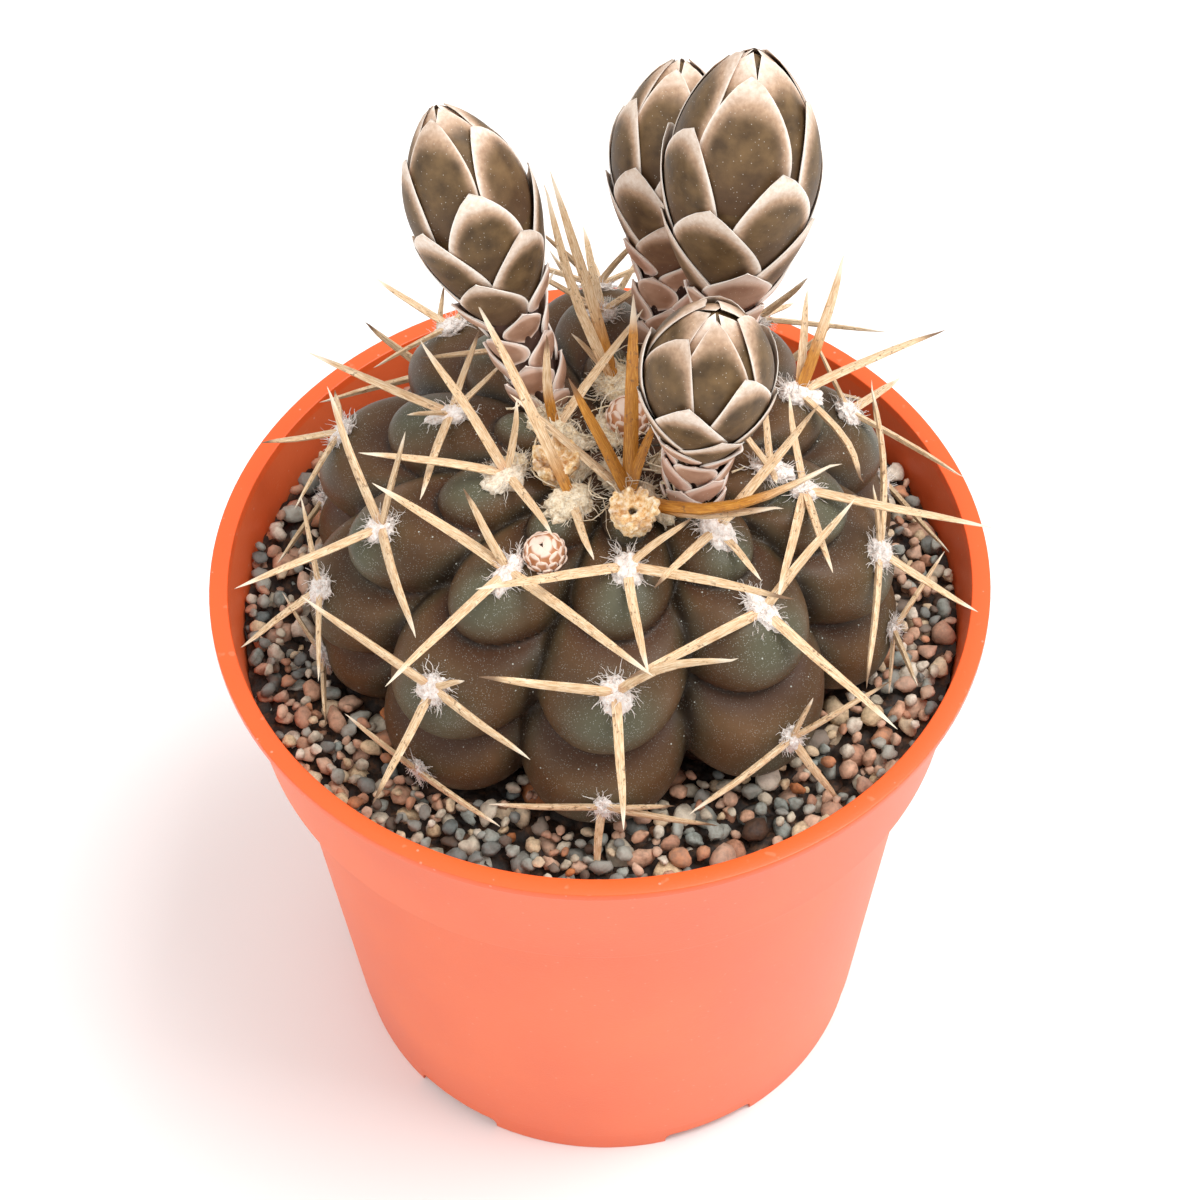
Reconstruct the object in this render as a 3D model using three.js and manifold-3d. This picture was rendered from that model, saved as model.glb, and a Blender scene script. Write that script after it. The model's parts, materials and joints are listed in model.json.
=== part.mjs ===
// A potted round cactus. A low ribbed globe with a spiny felt cushion on every tubercle and four
// scaly flower buds stands in soil and grit in a 105 mm plastic nursery pot.
// Millimetres, +Z up, origin in the middle of the plane that the pot's feet stand on.
// Azimuths are degrees about +Z from the front (-Y), growing towards +X.
import * as THREE from "three";
import { mergeVertices } from "three/addons/utils/BufferGeometryUtils.js";
import Module from "manifold-3d";

const wasm = await Module();
wasm.setup();

// ---------------------------------------------------------------- driving dimensions
const GAP = 0.3; // clearance between neighbouring pieces

const POT = {
  height: 90.8,
  rimRadius: 52.5,
  lipHeight: 1.4,
  collarTopRadius: 51,
  collarFootRadius: 48.2,
  collarHeight: 21.2,
  wallTopRadius: 45.2,
  footRadius: 38.2,
  wall: 1,
  edge: 0.3, // small roundings
  lineHeight: 4.6, // faint moulded line round the foot of the wall
  floorUnderside: 2.4,
  floorTop: 3.8,
  ringInnerRadius: 34.4, // foot ring
  sides: 36,
};
const FOOT_NOTCH = { count: 6, first: 23, width: 14, height: 2, depth: 12 };
const DRAIN = { count: 6, first: -7, radius: 3.2, circle: 25 };

const SOIL_TOP = 80.2;
const GRIT = { top: 82.2, innerRadius: 27, seed: 11 };
// stones of the grit: count, radii, nearest to the middle, and how close two may lie
const STONES = { count: 72, smallest: 1.6, largest: 2.8, nearest: 33, closeness: 0.84, tries: 6000 };
// [share of the stone's radius, height in radii over the bed] of its two rings of corners
const STONE_RINGS = [[1, -0.25], [0.72, 0.7]];
const STONE_TOP = 1.05;
const STONE_ROOT = 0.5;
const STONE_REACH = 1.15; // how far a corner may stand out, in radii

const BODY = {
  middle: { x: 0.5, y: 0.8, z: 91.8 },
  radius: 40.5,
  riseAbove: 28,
  dropBelow: 17.5,
  squareness: 2.4,
  crownDip: 2,
  crownDipAngle: 18,
  lean: { x: 3, y: -3 }, // the crown sits a little off the middle
  swirl: 7, // degrees that a rib turns from the widest ring to the crown
  ribs: 10,
  ribOffset: -1,
};
// polar angles of the rings of corners, from the ground up
const BODY_RINGS = { under: [150, 128, 114], sideFrom: 106, sideStep: 5, crownFrom: 23, crownStep: 4.5 };
const PIT_RINGS = [160, 138, 120, 104];
const RELIEF = { furrow: 0.42, crease: 0.2, round: 2.2, soften: 0.5 };

// Polar angles (0 = straight up) of the areoles on each rib, from the ground to the crown.
const RIBS = [
  { name: "a", areoles: [90, 64, 39, 20] },
  { name: "j", areoles: [85, 57, 37, 20] },
  { name: "i", areoles: [90, 69, 48, 38] },
  { name: "k", areoles: [89, 64, 48, 24] },
  { name: "g", areoles: [90, 68, 43] },
  { name: "f", areoles: [86, 66, 44, 20] },
  { name: "e", areoles: [88, 63, 40] },
  { name: "d", areoles: [93, 68, 41, 18] },
  { name: "c", areoles: [98, 76, 56, 30] },
  { name: "b", areoles: [95, 71, 45, 24] },
];

// These areoles have given their place to a bud.
const BUDDED = ["j4", "k4", "g3"];

const WOOL = { width: 1.9, length: 2.2, height: 1.2, root: 1, shoulder: 0.75, sides: 5 };
const SPINE = { width: 1.5, thickness: 1.05, waist: 0.8, waistAt: 0.55, waistFrom: 16, root: 1.1, above: 0.45 };

// Spines of the areoles that the front shows: [turn, lift, length, sideways bend].
// Turn is measured on the skin from the crown, growing towards +azimuth; lift is off the skin.
const SPINES = {
  a1: [[-75, 10, 14], [75, 10, 9], [95, 10, 14], [-175, 24, 11]],
  a2: [[-80, 20, 17], [65, 30, 17, 1.5], [175, 20, 16]],
  a3: [[170, 20, 16], [-110, 25, 20], [110, 25, 22], [60, 30, 10]],
  a4: [[4, 40, 24], [-40, 50, 16], [30, 45, 10], [114, 18, 20, -2.5], [103, 24, 27, -4.5], [-50, 20, 19]],
  j1: [[-75, 15, 20], [60, 20, 14], [10, 15, 9], [160, 22, 13]],
  j2: [[65, 25, 17], [165, 20, 21], [-85, 4, 20]],
  j3: [[78, 30, 19], [-102, 15, 13], [-175, 15, 9]],
  i1: [[-65, 25, 14], [-130, 10, 8], [80, 15, 13]],
  i2: [[40, 10, 21, -2], [25, 15, 9], [180, 30, 15], [-100, 5, 19]],
  i3: [[180, 25, 23], [-105, 20, 15], [-87, 5, 18], [60, 14, 12]],
  i4: [[-90, 40, 8], [60, 35, 9], [10, 40, 10]],
  k1: [[-90, 15, 14], [90, 15, 14]],
  k2: [[-95, 25, 19, 2], [60, 15, 10], [150, 20, 14]],
  k3: [[175, 25, 22], [-80, 10, 19, 2], [120, 50, 18], [112, 30, 14]],
  f3: [[-110, 22, 16], [178, 22, 15], [25, 32, 11], [110, 30, 13]],
  f4: [[163, 50, 27], [158, 52, 26, 1], [140, 30, 8]],
  e2: [[170, 40, 14], [75, 5, 14], [-90, 20, 14]],
  e3: [[175, 45, 16], [105, 20, 12], [-105, 25, 12]],
  d1: [[-90, 10, 12], [90, 10, 12]],
  d2: [[175, 30, 12], [-120, 10, 10], [95, 5, 13]],
  d3: [[180, 35, 19], [80, 10, 17], [-75, 30, 11], [-45, 20, 9], [110, 45, 8]],
  d4: [[-65, 30, 18], [-120, 62, 12, 1]],
  c1: [[-80, 12, 11], [85, 12, 11]],
  c2: [[-40, 15, 12], [-175, 30, 14], [100, 15, 13]],
  c3: [[-75, 35, 18], [175, 25, 19], [80, 20, 25], [-10, 40, 15]],
  c4: [[-165, 25, 18], [-110, 45, 19], [80, 15, 14], [-55, 40, 9]],
  b1: [[-20, 10, 16], [60, 10, 20]],
  b2: [[-70, 25, 19], [85, 15, 17], [180, 20, 16], [45, 15, 6]],
  b3: [[-95, 30, 19], [-60, 50, 12], [180, 25, 22], [95, 20, 27]],
  b4: [[-70, 45, 26], [130, 15, 12]],
};
// The areoles turned away from the front follow the plant's usual set.
const USUAL_SPINES = [[-95, 22, 17], [90, 20, 18], [178, 22, 15], [-35, 32, 13], [38, 28, 14]];
// Close to the grit none of them points down.
const LOW_SPINES = [[-88, 16, 15], [86, 14, 16], [-32, 28, 12], [35, 24, 13]];
const LOW_POLAR = 80;

const BUD = {
  sunk: 3, // how far its foot lies under the skin
  bendAside: 0.3, // where the axis bends up, as shares of its reach
  bendUp: 0.5,
  tubeRadius: 4.3,
  neckAt: 0.3,
  widestAt: 0.62,
  swell: 1.2, // how late the head swells out, and how blunt its top is
  dome: 0.8,
  scales: 18,
  shortest: 6.5,
  longest: 13,
  narrowest: 6,
  broadest: 9.6,
  fullSizeAt: 0.6, // share of the bud's length from which the scales are full size
  firstTip: 0.14,
  lastTip: 0.98,
  lastPoint: 0.995,
  goldenTurn: 137.5,
  scaleStand: 0.8, // how far a tip stands off the core
  scaleRoot: 0.5, // how deep a scale is rooted in it
  ringCrowding: 0.85, // rings and scales lie closer towards the tip
  tipCrowding: 0.9,
  rings: 8,
  sides: 8,
};
// [share of the length, share of the half width] round a scale's edge
const SCALE_EDGE = [[0, 0], [0.55, 0.97], [1, 0], [0.55, -0.97]];
// foot and reach (foot to tip) of each bud; turn is where its lowest scale points
const BUDS = [
  { name: "bud_left", foot: [-6.7, 7.7], reach: [-11.3, 7, 43.8], radius: 8, turn: 120 },
  { name: "bud_back", foot: [9.3, 20.9], reach: [2, 9.7, 39.5], radius: 8, turn: 170 },
  { name: "bud_right", foot: [16.9, 7.7], reach: [3, 5.5, 53], radius: 8.9, turn: 340 },
  { name: "bud_front", foot: [11.9, -10.1], reach: [2.4, -2, 36.6], radius: 7.7, turn: 10 },
];
// woolly beginnings of buds: where on the skin, how big, and how far each knob stands out
const BUDLETS = [
  { name: "budlet_crown", azimuth: 171, polar: 9, radius: 2.7 },
  { name: "budlet_side", azimuth: -27, polar: 39.2, radius: 2.5 },
];
const KNOBS = { low: 0.88, high: 1.08, seat: 0.45 };
// rings of dried petals left by old flowers
const DRIED = [
  { name: "dried_flower_front", azimuth: 6, polar: 28.5, radius: 2.9 },
  { name: "dried_flower_side", azimuth: -58, polar: 21, radius: 2.9 },
];

// [share of the radius, height over the skin, height of every other stump] of each ring
const DRIED_RINGS = [[0.75, -0.8, 0], [0.9, 1, 0.9], [0.5, 1.5, 0.3]];
const DRIED_STUMPS = 12;
const DRIED_HOLLOW = { root: -1.2, floor: 0.9 };

const FINISH = {
  pot: { color: 0xf07448, roughness: 0.42 },
  soil: { color: 0x2b211b, roughness: 0.95 },
  grit: { color: 0xa58f7c, roughness: 0.85 },
  skin: { color: 0x5f544c, roughness: 0.5 },
  spine: { color: 0xd8bb8d, roughness: 0.6 },
  bud: { color: 0x8a7a68, roughness: 0.45 },
  budlet: { color: 0xd9b59b, roughness: 0.8 },
  dried: { color: 0xe0c68f, roughness: 0.8 },
};

// ---------------------------------------------------------------- helpers
const rad = THREE.MathUtils.degToRad;
const vec = (x, y, z) => new THREE.Vector3(x, y, z);

function seededRandom(seed) {
  let state = seed >>> 0;
  return () => {
    state = (state + 0x6d2b79f5) >>> 0;
    let t = Math.imul(state ^ (state >>> 15), 1 | state);
    t = (t + Math.imul(t ^ (t >>> 7), 61 | t)) ^ t;
    return ((t ^ (t >>> 14)) >>> 0) / 4294967296;
  };
}

// A closed geometry as a solid: shared vertices merged, collapsed faces dropped.
function solidOf(geometry) {
  const bare = geometry.clone();
  bare.deleteAttribute("normal");
  bare.deleteAttribute("uv");
  const merged = mergeVertices(bare, 1e-4);
  const index = merged.index.array;
  const faces = [];
  for (let i = 0; i < index.length; i += 3) {
    const [a, b, c] = index.slice(i, i + 3);
    if (a !== b && b !== c && c !== a) faces.push(a, b, c);
  }
  return new wasm.Manifold(
    new wasm.Mesh({
      numProp: 3,
      vertProperties: merged.attributes.position.array,
      triVerts: new Uint32Array(faces),
    }),
  );
}

function meshOf(name, solid, finish) {
  const made = solid.getMesh();
  const geometry = new THREE.BufferGeometry();
  geometry.setAttribute("position", new THREE.BufferAttribute(made.vertProperties, 3));
  geometry.setIndex(new THREE.BufferAttribute(made.triVerts, 1));
  geometry.computeVertexNormals();
  const material = new THREE.MeshStandardMaterial({ ...finish, metalness: 0 });
  const mesh = new THREE.Mesh(geometry, material);
  mesh.name = name;
  return mesh;
}

// A solid of revolution about +Z from [radius, z] pairs.
function turned(profile, sides) {
  const points = profile.map(([r, z]) => new THREE.Vector2(r, z));
  return solidOf(new THREE.LatheGeometry(points, sides).rotateX(Math.PI / 2));
}

// A solid from rings of points, closed by one point at each end.
function ringed(start, rings, end) {
  const sides = rings[0].length;
  const points = [start, ...rings.flat(), end];
  const last = points.length - 1;
  const at = (ring, side) => 1 + ring * sides + (side % sides);
  const faces = [];
  for (let s = 0; s < sides; s++) {
    faces.push(0, at(0, s + 1), at(0, s));
    faces.push(last, at(rings.length - 1, s), at(rings.length - 1, s + 1));
    for (let r = 0; r < rings.length - 1; r++) {
      faces.push(at(r, s), at(r, s + 1), at(r + 1, s + 1));
      faces.push(at(r, s), at(r + 1, s + 1), at(r + 1, s));
    }
  }
  const geometry = new THREE.BufferGeometry().setFromPoints(points);
  geometry.setIndex(faces);
  return solidOf(geometry);
}

const union = (solids) => wasm.Manifold.union(solids);

// The biggest body of a solid: a cut can leave loose scraps.
function mainBody(solid) {
  const bodies = solid.decompose();
  return bodies.reduce((best, body) => (body.volume() > best.volume() ? body : best));
}

// ---------------------------------------------------------------- pot
const collarFoot = POT.height - POT.collarHeight;
// corners of the inner wall, [radius, z], from the lip down to the floor
const INNER_WALL = {
  lip: [POT.collarTopRadius - POT.wall, POT.height - POT.edge],
  stepTop: [POT.collarFootRadius - POT.wall, collarFoot + 2 * POT.edge],
  stepFoot: [POT.wallTopRadius - POT.wall, collarFoot - POT.wall],
  floor: [POT.footRadius - POT.wall, POT.floorTop],
};

function collarInner(z) {
  const { lip, stepTop } = INNER_WALL;
  return THREE.MathUtils.mapLinear(z, stepTop[1], lip[1], stepTop[0], lip[0]);
}

function makePot() {
  const { height, edge, lineHeight, rimRadius: rim, footRadius: foot } = POT;
  const lipFoot = height - POT.lipHeight;
  const profile = [
    [0, POT.floorUnderside],
    [POT.ringInnerRadius, POT.floorUnderside],
    [POT.ringInnerRadius, 0],
    [foot - edge, 0],
    [foot, edge],
    [foot + edge, lineHeight - edge],
    [foot + 2 * edge, lineHeight],
    [POT.wallTopRadius, collarFoot - POT.wall],
    [POT.collarFootRadius - edge, collarFoot - edge],
    [POT.collarFootRadius, collarFoot],
    [POT.collarTopRadius, lipFoot],
    [rim - edge, lipFoot],
    [rim, lipFoot + edge],
    [rim - edge, height],
    [INNER_WALL.lip[0] + edge, height],
    INNER_WALL.lip,
    INNER_WALL.stepTop,
    INNER_WALL.stepFoot,
    INNER_WALL.floor,
    [0, POT.floorTop],
  ];
  const notches = Array.from({ length: FOOT_NOTCH.count }, (_, i) => {
    const box = new THREE.BoxGeometry(FOOT_NOTCH.width, FOOT_NOTCH.depth, 2 * FOOT_NOTCH.height);
    box.translate(0, -foot, 0);
    return solidOf(box.rotateZ(rad(FOOT_NOTCH.first + (i * 360) / FOOT_NOTCH.count)));
  });
  const drains = Array.from({ length: DRAIN.count }, (_, i) => {
    const bore = new THREE.CylinderGeometry(DRAIN.radius, DRAIN.radius, 4 * POT.floorTop, 10);
    bore.rotateX(Math.PI / 2).translate(0, -DRAIN.circle, 0);
    return solidOf(bore.rotateZ(rad(DRAIN.first + (i * 360) / DRAIN.count)));
  });
  return turned(profile, POT.sides).subtract(union([...notches, ...drains]));
}

// ---------------------------------------------------------------- cactus body
// Distance from the middle of the body to its plain outline, at a polar angle in degrees.
function outline(polar) {
  const across = Math.abs(Math.sin(rad(polar))) / BODY.radius;
  const along = Math.abs(Math.cos(rad(polar))) / (polar < 90 ? BODY.riseAbove : BODY.dropBelow);
  const n = BODY.squareness;
  const dip = BODY.crownDip * Math.exp(-((polar / BODY.crownDipAngle) ** 2));
  return (across ** n + along ** n) ** (-1 / n) - dip;
}

const ribStep = 360 / BODY.ribs;
const swirlAt = (polar) => BODY.ribOffset + (BODY.swirl * (90 - polar)) / 90;
const ribAzimuth = (rib, polar) => rib * ribStep + swirlAt(polar);

// 1 on the fullest part of a tubercle, 0 in the crease below or above it.
function tubercle(rib, polar) {
  const spots = RIBS[rib].areoles;
  const gap = (i) => (i < spots.length - 1 ? spots[i] - spots[i + 1] : spots[i] * 0.7);
  const creaseBelow = (i) => (i === 0 ? spots[0] + 15 : spots[i] + 0.67 * (spots[i - 1] - spots[i]));
  const top = spots.length - 1;
  const above = spots[top] - 0.33 * gap(top);
  if (polar < above) return THREE.MathUtils.clamp(polar / above, 0, 1) * 0.5;
  let i = top;
  while (i > 0 && polar > creaseBelow(i)) i--;
  const from = i === top ? above : creaseBelow(i + 1);
  const share = THREE.MathUtils.clamp((polar - from) / (creaseBelow(i) - from), 0, 1);
  return 1 - Math.abs(2 * share ** 1.2 - 1) ** 3;
}

const softMax = (a, b) => (a + b + Math.hypot(a - b, RELIEF.soften)) / 2;

// Height of the ribs over the plain outline: creases between tubercles, furrows between ribs.
function relief(azimuth, polar) {
  const girth = outline(polar) * Math.sin(rad(Math.min(polar, 90)));
  const halfWidth = girth * rad(ribStep / 2);
  const around = (azimuth - swirlAt(polar)) / ribStep;
  const nearest = Math.round(around);
  const heights = [-1, 0, 1].map((side) => {
    const rib = nearest + side;
    const wrapped = ((rib % BODY.ribs) + BODY.ribs) % BODY.ribs;
    const aside = Math.abs(2 * (around - rib));
    const crease = RELIEF.crease * (1 - tubercle(wrapped, polar));
    return -halfWidth * (crease + RELIEF.furrow * aside ** RELIEF.round);
  });
  return heights.reduce(softMax);
}

// A point of the skin, or of a surface that lies out from it.
function skin(azimuth, polar, out = 0, withRelief = true) {
  const lift = withRelief ? relief(azimuth, polar) : 0;
  const reach = outline(polar) + lift + out;
  const drift = Math.max(Math.cos(rad(polar)), 0) ** 2;
  const level = reach * Math.sin(rad(polar));
  return vec(
    BODY.middle.x + BODY.lean.x * drift + level * Math.sin(rad(azimuth)),
    BODY.middle.y + BODY.lean.y * drift - level * Math.cos(rad(azimuth)),
    BODY.middle.z + reach * Math.cos(rad(polar)),
  );
}

function makeBody(out) {
  const columns = 6 * BODY.ribs;
  const { under, sideFrom, sideStep, crownFrom, crownStep } = BODY_RINGS;
  const polars = [...under];
  for (let polar = sideFrom; polar > crownFrom; polar -= sideStep) polars.push(polar);
  for (let polar = crownFrom; polar > crownStep / 2; polar -= crownStep) polars.push(polar);
  const rings = polars.map((polar) =>
    Array.from({ length: columns }, (_, i) => {
      const azimuth = (i * 360) / columns + swirlAt(polar);
      return skin(azimuth, polar, out);
    }),
  );
  return ringed(skin(0, 180, out, false), rings, skin(0, 0, out, false));
}

// ---------------------------------------------------------------- soil and grit
function makeSoil() {
  const { stepTop, stepFoot, floor } = INNER_WALL;
  const fill = turned(
    [
      [0, floor[1] + GAP],
      [floor[0] - GAP, floor[1] + GAP],
      [stepFoot[0] - GAP, stepFoot[1] + GAP / 2],
      [stepTop[0] - GAP, stepTop[1] + GAP],
      [collarInner(SOIL_TOP) - GAP, SOIL_TOP],
      [0, SOIL_TOP],
    ],
    POT.sides,
  );
  const clear = 2 * GAP;
  const sides = POT.sides / 2;
  const pitRings = PIT_RINGS.map((polar) =>
    Array.from({ length: sides }, (_, i) => skin((i * 360) / sides, polar, clear, false)),
  );
  const { x, y, z } = BODY.middle;
  const pit = ringed(skin(0, 180, clear, false), pitRings, vec(x, y, z));
  return fill.subtract(pit);
}

// One worn stone, sunk in the bed: wide below, a rounded top above.
function makeStone(random, x, y, size) {
  const turn = random();
  const squash = 0.75 + 0.25 * random();
  const ring = (share, height) =>
    [0, 1, 2, 3, 4].map((corner) => {
      const angle = 2 * Math.PI * (turn + corner / 5);
      const reach = size * share * THREE.MathUtils.lerp(2 - STONE_REACH, STONE_REACH, random());
      const z = GRIT.top + size * (height + 0.2 * random());
      return vec(x + reach * Math.cos(angle), y + reach * squash * Math.sin(angle), z);
    });
  const rings = STONE_RINGS.map(([share, height]) => ring(share, height));
  const root = vec(x, y, GRIT.top - STONE_ROOT * size);
  return ringed(root, rings, vec(x, y, GRIT.top + STONE_TOP * size));
}

function makeGrit(bodyCutter) {
  const random = seededRandom(GRIT.seed);
  const low = SOIL_TOP + GAP;
  const edge = (z) => collarInner(z) - GAP;
  const { innerRadius } = GRIT;
  const bed = turned(
    [
      [innerRadius, low],
      [edge(low), low],
      [edge(GRIT.top), GRIT.top],
      [innerRadius, GRIT.top],
      [innerRadius, low],
    ],
    POT.sides,
  );
  const placed = [];
  const stones = [];
  const { count, smallest, largest, nearest, closeness } = STONES;
  for (let tries = 0; placed.length < count && tries < STONES.tries; tries++) {
    const size = THREE.MathUtils.lerp(largest, smallest, random());
    const farthest = edge(GRIT.top) - size * STONE_REACH;
    const distance = Math.sqrt(THREE.MathUtils.lerp(nearest ** 2, farthest ** 2, random()));
    const azimuth = Math.PI * 2 * random();
    const x = distance * Math.sin(azimuth);
    const y = -distance * Math.cos(azimuth);
    if (placed.some((p) => Math.hypot(p.x - x, p.y - y) < closeness * (p.size + size))) continue;
    placed.push({ x, y, size });
    stones.push(makeStone(random, x, y, size));
  }
  return mainBody(union([bed, ...stones]).subtract(bodyCutter));
}

// ---------------------------------------------------------------- areoles with their spines
// Axes on the skin: up towards the crown, across towards +azimuth, and out of the skin.
function skinAxes(azimuth, polar) {
  const nudge = 0.3;
  const here = (a, p) => skin(a, p, 0, false);
  const up = here(azimuth, polar - nudge).sub(here(azimuth, polar + nudge)).normalize();
  const across = here(azimuth + nudge, polar).sub(here(azimuth - nudge, polar));
  across.addScaledVector(up, -across.dot(up)).normalize();
  return { up, across, out: across.clone().cross(up).normalize() };
}

function spineDirection({ up, across, out }, turn, lift) {
  const flat = Math.cos(rad(lift));
  return vec(0, 0, 0)
    .addScaledVector(up, flat * Math.cos(rad(turn)))
    .addScaledVector(across, flat * Math.sin(rad(turn)))
    .addScaledVector(out, Math.sin(rad(lift)));
}

// A tapering three-sided spine; a long or a bent one has a waist.
function makeSpine(root, direction, out, length, bend) {
  const side = out.clone().cross(direction).normalize();
  const face = direction.clone().cross(side).normalize();
  const ring = (along, share) => {
    const sway = bend * Math.sin(Math.PI * along);
    const middle = root.clone().addScaledVector(direction, along * length).addScaledVector(side, sway);
    const corners = [
      [-SPINE.width / 2, -SPINE.thickness / 3],
      [SPINE.width / 2, -SPINE.thickness / 3],
      [0, (2 * SPINE.thickness) / 3],
    ];
    return corners.map(([w, t]) =>
      middle.clone().addScaledVector(side, w * share).addScaledVector(face, t * share),
    );
  };
  const heel = root.clone().addScaledVector(direction, -SPINE.root);
  const tip = root.clone().addScaledVector(direction, length);
  const waisted = bend !== 0 || length >= SPINE.waistFrom;
  const rings = waisted ? [ring(0, 1), ring(SPINE.waistAt, SPINE.waist)] : [ring(0, 1)];
  return ringed(heel, rings, tip);
}

function makeAreole(azimuth, polar, spines, bodyCutter) {
  const axes = skinAxes(azimuth, polar);
  const seat = skin(azimuth, polar);
  const felt = (share, height) =>
    Array.from({ length: WOOL.sides }, (_, i) => {
      const turn = (i * 2 * Math.PI) / WOOL.sides;
      return seat
        .clone()
        .addScaledVector(axes.across, share * WOOL.width * Math.cos(turn))
        .addScaledVector(axes.up, share * WOOL.length * Math.sin(turn))
        .addScaledVector(axes.out, height);
    });
  const pad = ringed(
    seat.clone().addScaledVector(axes.out, -WOOL.root),
    [felt(1, 0), felt(WOOL.shoulder, WOOL.shoulder * WOOL.height)],
    seat.clone().addScaledVector(axes.out, WOOL.height),
  );
  const made = spines.map(([turn, lift, length, bend = 0]) => {
    const direction = spineDirection(axes, turn, lift);
    const root = seat.clone().addScaledVector(axes.out, SPINE.above);
    return makeSpine(root, direction, axes.out, length, bend);
  });
  return mainBody(union([pad, ...made]).subtract(bodyCutter));
}

// ---------------------------------------------------------------- buds
function budAxis({ foot, reach }) {
  const start = footOnSkin(foot);
  const end = start.clone().add(vec(...reach));
  const [x, y, z] = reach;
  const bend = start.clone().add(vec(BUD.bendAside * x, BUD.bendAside * y, BUD.bendUp * z));
  return new THREE.QuadraticBezierCurve3(start, bend, end);
}

// A point under the skin, about straight below a point of the plan.
function footOnSkin([x, y]) {
  const dx = x - BODY.middle.x - BODY.lean.x;
  const dy = y - BODY.middle.y - BODY.lean.y;
  const rise = BODY.riseAbove - BODY.crownDip;
  const azimuth = THREE.MathUtils.radToDeg(Math.atan2(dx, -dy));
  const polar = THREE.MathUtils.radToDeg(Math.atan2(Math.hypot(dx, dy), rise));
  return skin(azimuth, polar, -BUD.sunk, false);
}

function budRadius(share, widest) {
  const { tubeRadius: tube, neckAt: neck, widestAt: wide } = BUD;
  if (share < neck) return tube;
  if (share < wide) {
    const rise = Math.sin(((Math.PI / 2) * (share - neck)) / (wide - neck));
    return tube + (widest - tube) * rise ** BUD.swell;
  }
  return widest * Math.cos(((Math.PI / 2) * (share - wide)) / (1 - wide)) ** BUD.dome;
}

// A point at a share of the bud's length, turned about its axis, and some way out of its core.
function budPoint(bud, axis, share, turn, out) {
  const middle = axis.getPoint(share);
  const along = axis.getTangent(share);
  const right = vec(1, 0, 0).addScaledVector(along, -along.x).normalize();
  const back = along.clone().cross(right);
  const reach = budRadius(share, bud.radius) + out;
  return middle
    .addScaledVector(right, reach * Math.sin(rad(turn)))
    .addScaledVector(back, -reach * Math.cos(rad(turn)));
}

// One pointed scale, lying on the core at its foot and standing off it at its tip.
function makeScale(bud, axis, tip, turn) {
  const { lerp, smoothstep, radToDeg } = THREE.MathUtils;
  const growth = smoothstep(tip, BUD.firstTip, BUD.fullSizeAt);
  const width = lerp(BUD.narrowest, BUD.broadest, growth);
  const span = lerp(BUD.shortest, BUD.longest, growth) / axis.getLength();
  const place = (up, aside, out) => {
    const share = Math.min(tip - span * (1 - up), BUD.lastPoint);
    const around = Math.max(budRadius(share, bud.radius), BUD.tubeRadius / 2);
    return budPoint(bud, axis, share, turn + radToDeg((aside * width) / 2 / around), out);
  };
  const top = SCALE_EDGE.map(([up, aside]) => place(up, aside, BUD.scaleStand * up));
  const under = SCALE_EDGE.map(([up, aside]) => place(up, aside, -BUD.scaleRoot));
  const [ridgeAt] = SCALE_EDGE[1];
  const ridge = place(ridgeAt, 0, BUD.scaleStand);
  return ringed(place(ridgeAt, 0, -BUD.scaleRoot), [under, top], ridge);
}

function makeBud(bud, bodyCutter) {
  const axis = budAxis(bud);
  const shares = Array.from({ length: BUD.rings }, (_, i) => (i / BUD.rings) ** BUD.ringCrowding);
  const rings = shares.map((share) =>
    Array.from({ length: BUD.sides }, (_, i) => {
      return budPoint(bud, axis, share, (i * 360) / BUD.sides, 0);
    }),
  );
  const core = ringed(axis.getPoint(0), rings, axis.getPoint(1));
  const scales = Array.from({ length: BUD.scales }, (_, k) => {
    const share = (k / (BUD.scales - 1)) ** BUD.tipCrowding;
    const tip = THREE.MathUtils.lerp(BUD.firstTip, BUD.lastTip, share);
    return makeScale(bud, axis, tip, bud.turn + k * BUD.goldenTurn);
  });
  return mainBody(union([core, ...scales]).subtract(bodyCutter));
}

// A woolly ball of scales that will open into a bud: every other knob stands out.
function makeBudlet({ azimuth, polar, radius }, bodyCutter) {
  const seat = skin(azimuth, polar, radius * KNOBS.seat);
  const ball = new THREE.IcosahedronGeometry(1, 1);
  ball.deleteAttribute("normal");
  ball.deleteAttribute("uv");
  const knobs = mergeVertices(ball);
  const spot = knobs.attributes.position;
  for (let i = 0; i < spot.count; i++) {
    const reach = radius * (i % 2 ? KNOBS.high : KNOBS.low);
    spot.setXYZ(i, spot.getX(i) * reach, spot.getY(i) * reach, spot.getZ(i) * reach);
  }
  knobs.translate(seat.x, seat.y, seat.z);
  return mainBody(solidOf(knobs).subtract(bodyCutter));
}

// A cup of dry petal stumps round a hollow.
function makeDried({ azimuth, polar, radius }, bodyCutter) {
  const axes = skinAxes(azimuth, polar);
  const seat = skin(azimuth, polar);
  const at = (share, height, turn) =>
    seat
      .clone()
      .addScaledVector(axes.across, share * radius * Math.cos(turn))
      .addScaledVector(axes.up, share * radius * Math.sin(turn))
      .addScaledVector(axes.out, height);
  const rings = DRIED_RINGS.map(([share, height, jag]) =>
    Array.from({ length: DRIED_STUMPS }, (_, i) => {
      const stump = i % 2 ? jag : 0;
      return at(share, height + stump, (i * 2 * Math.PI) / DRIED_STUMPS);
    }),
  );
  const { root, floor } = DRIED_HOLLOW;
  return mainBody(ringed(at(0, root, 0), rings, at(0, floor, 0)).subtract(bodyCutter));
}

// ---------------------------------------------------------------- the whole plant
const cactus = new THREE.Group();
const bodyCutter = makeBody(GAP + 0.1);

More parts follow.
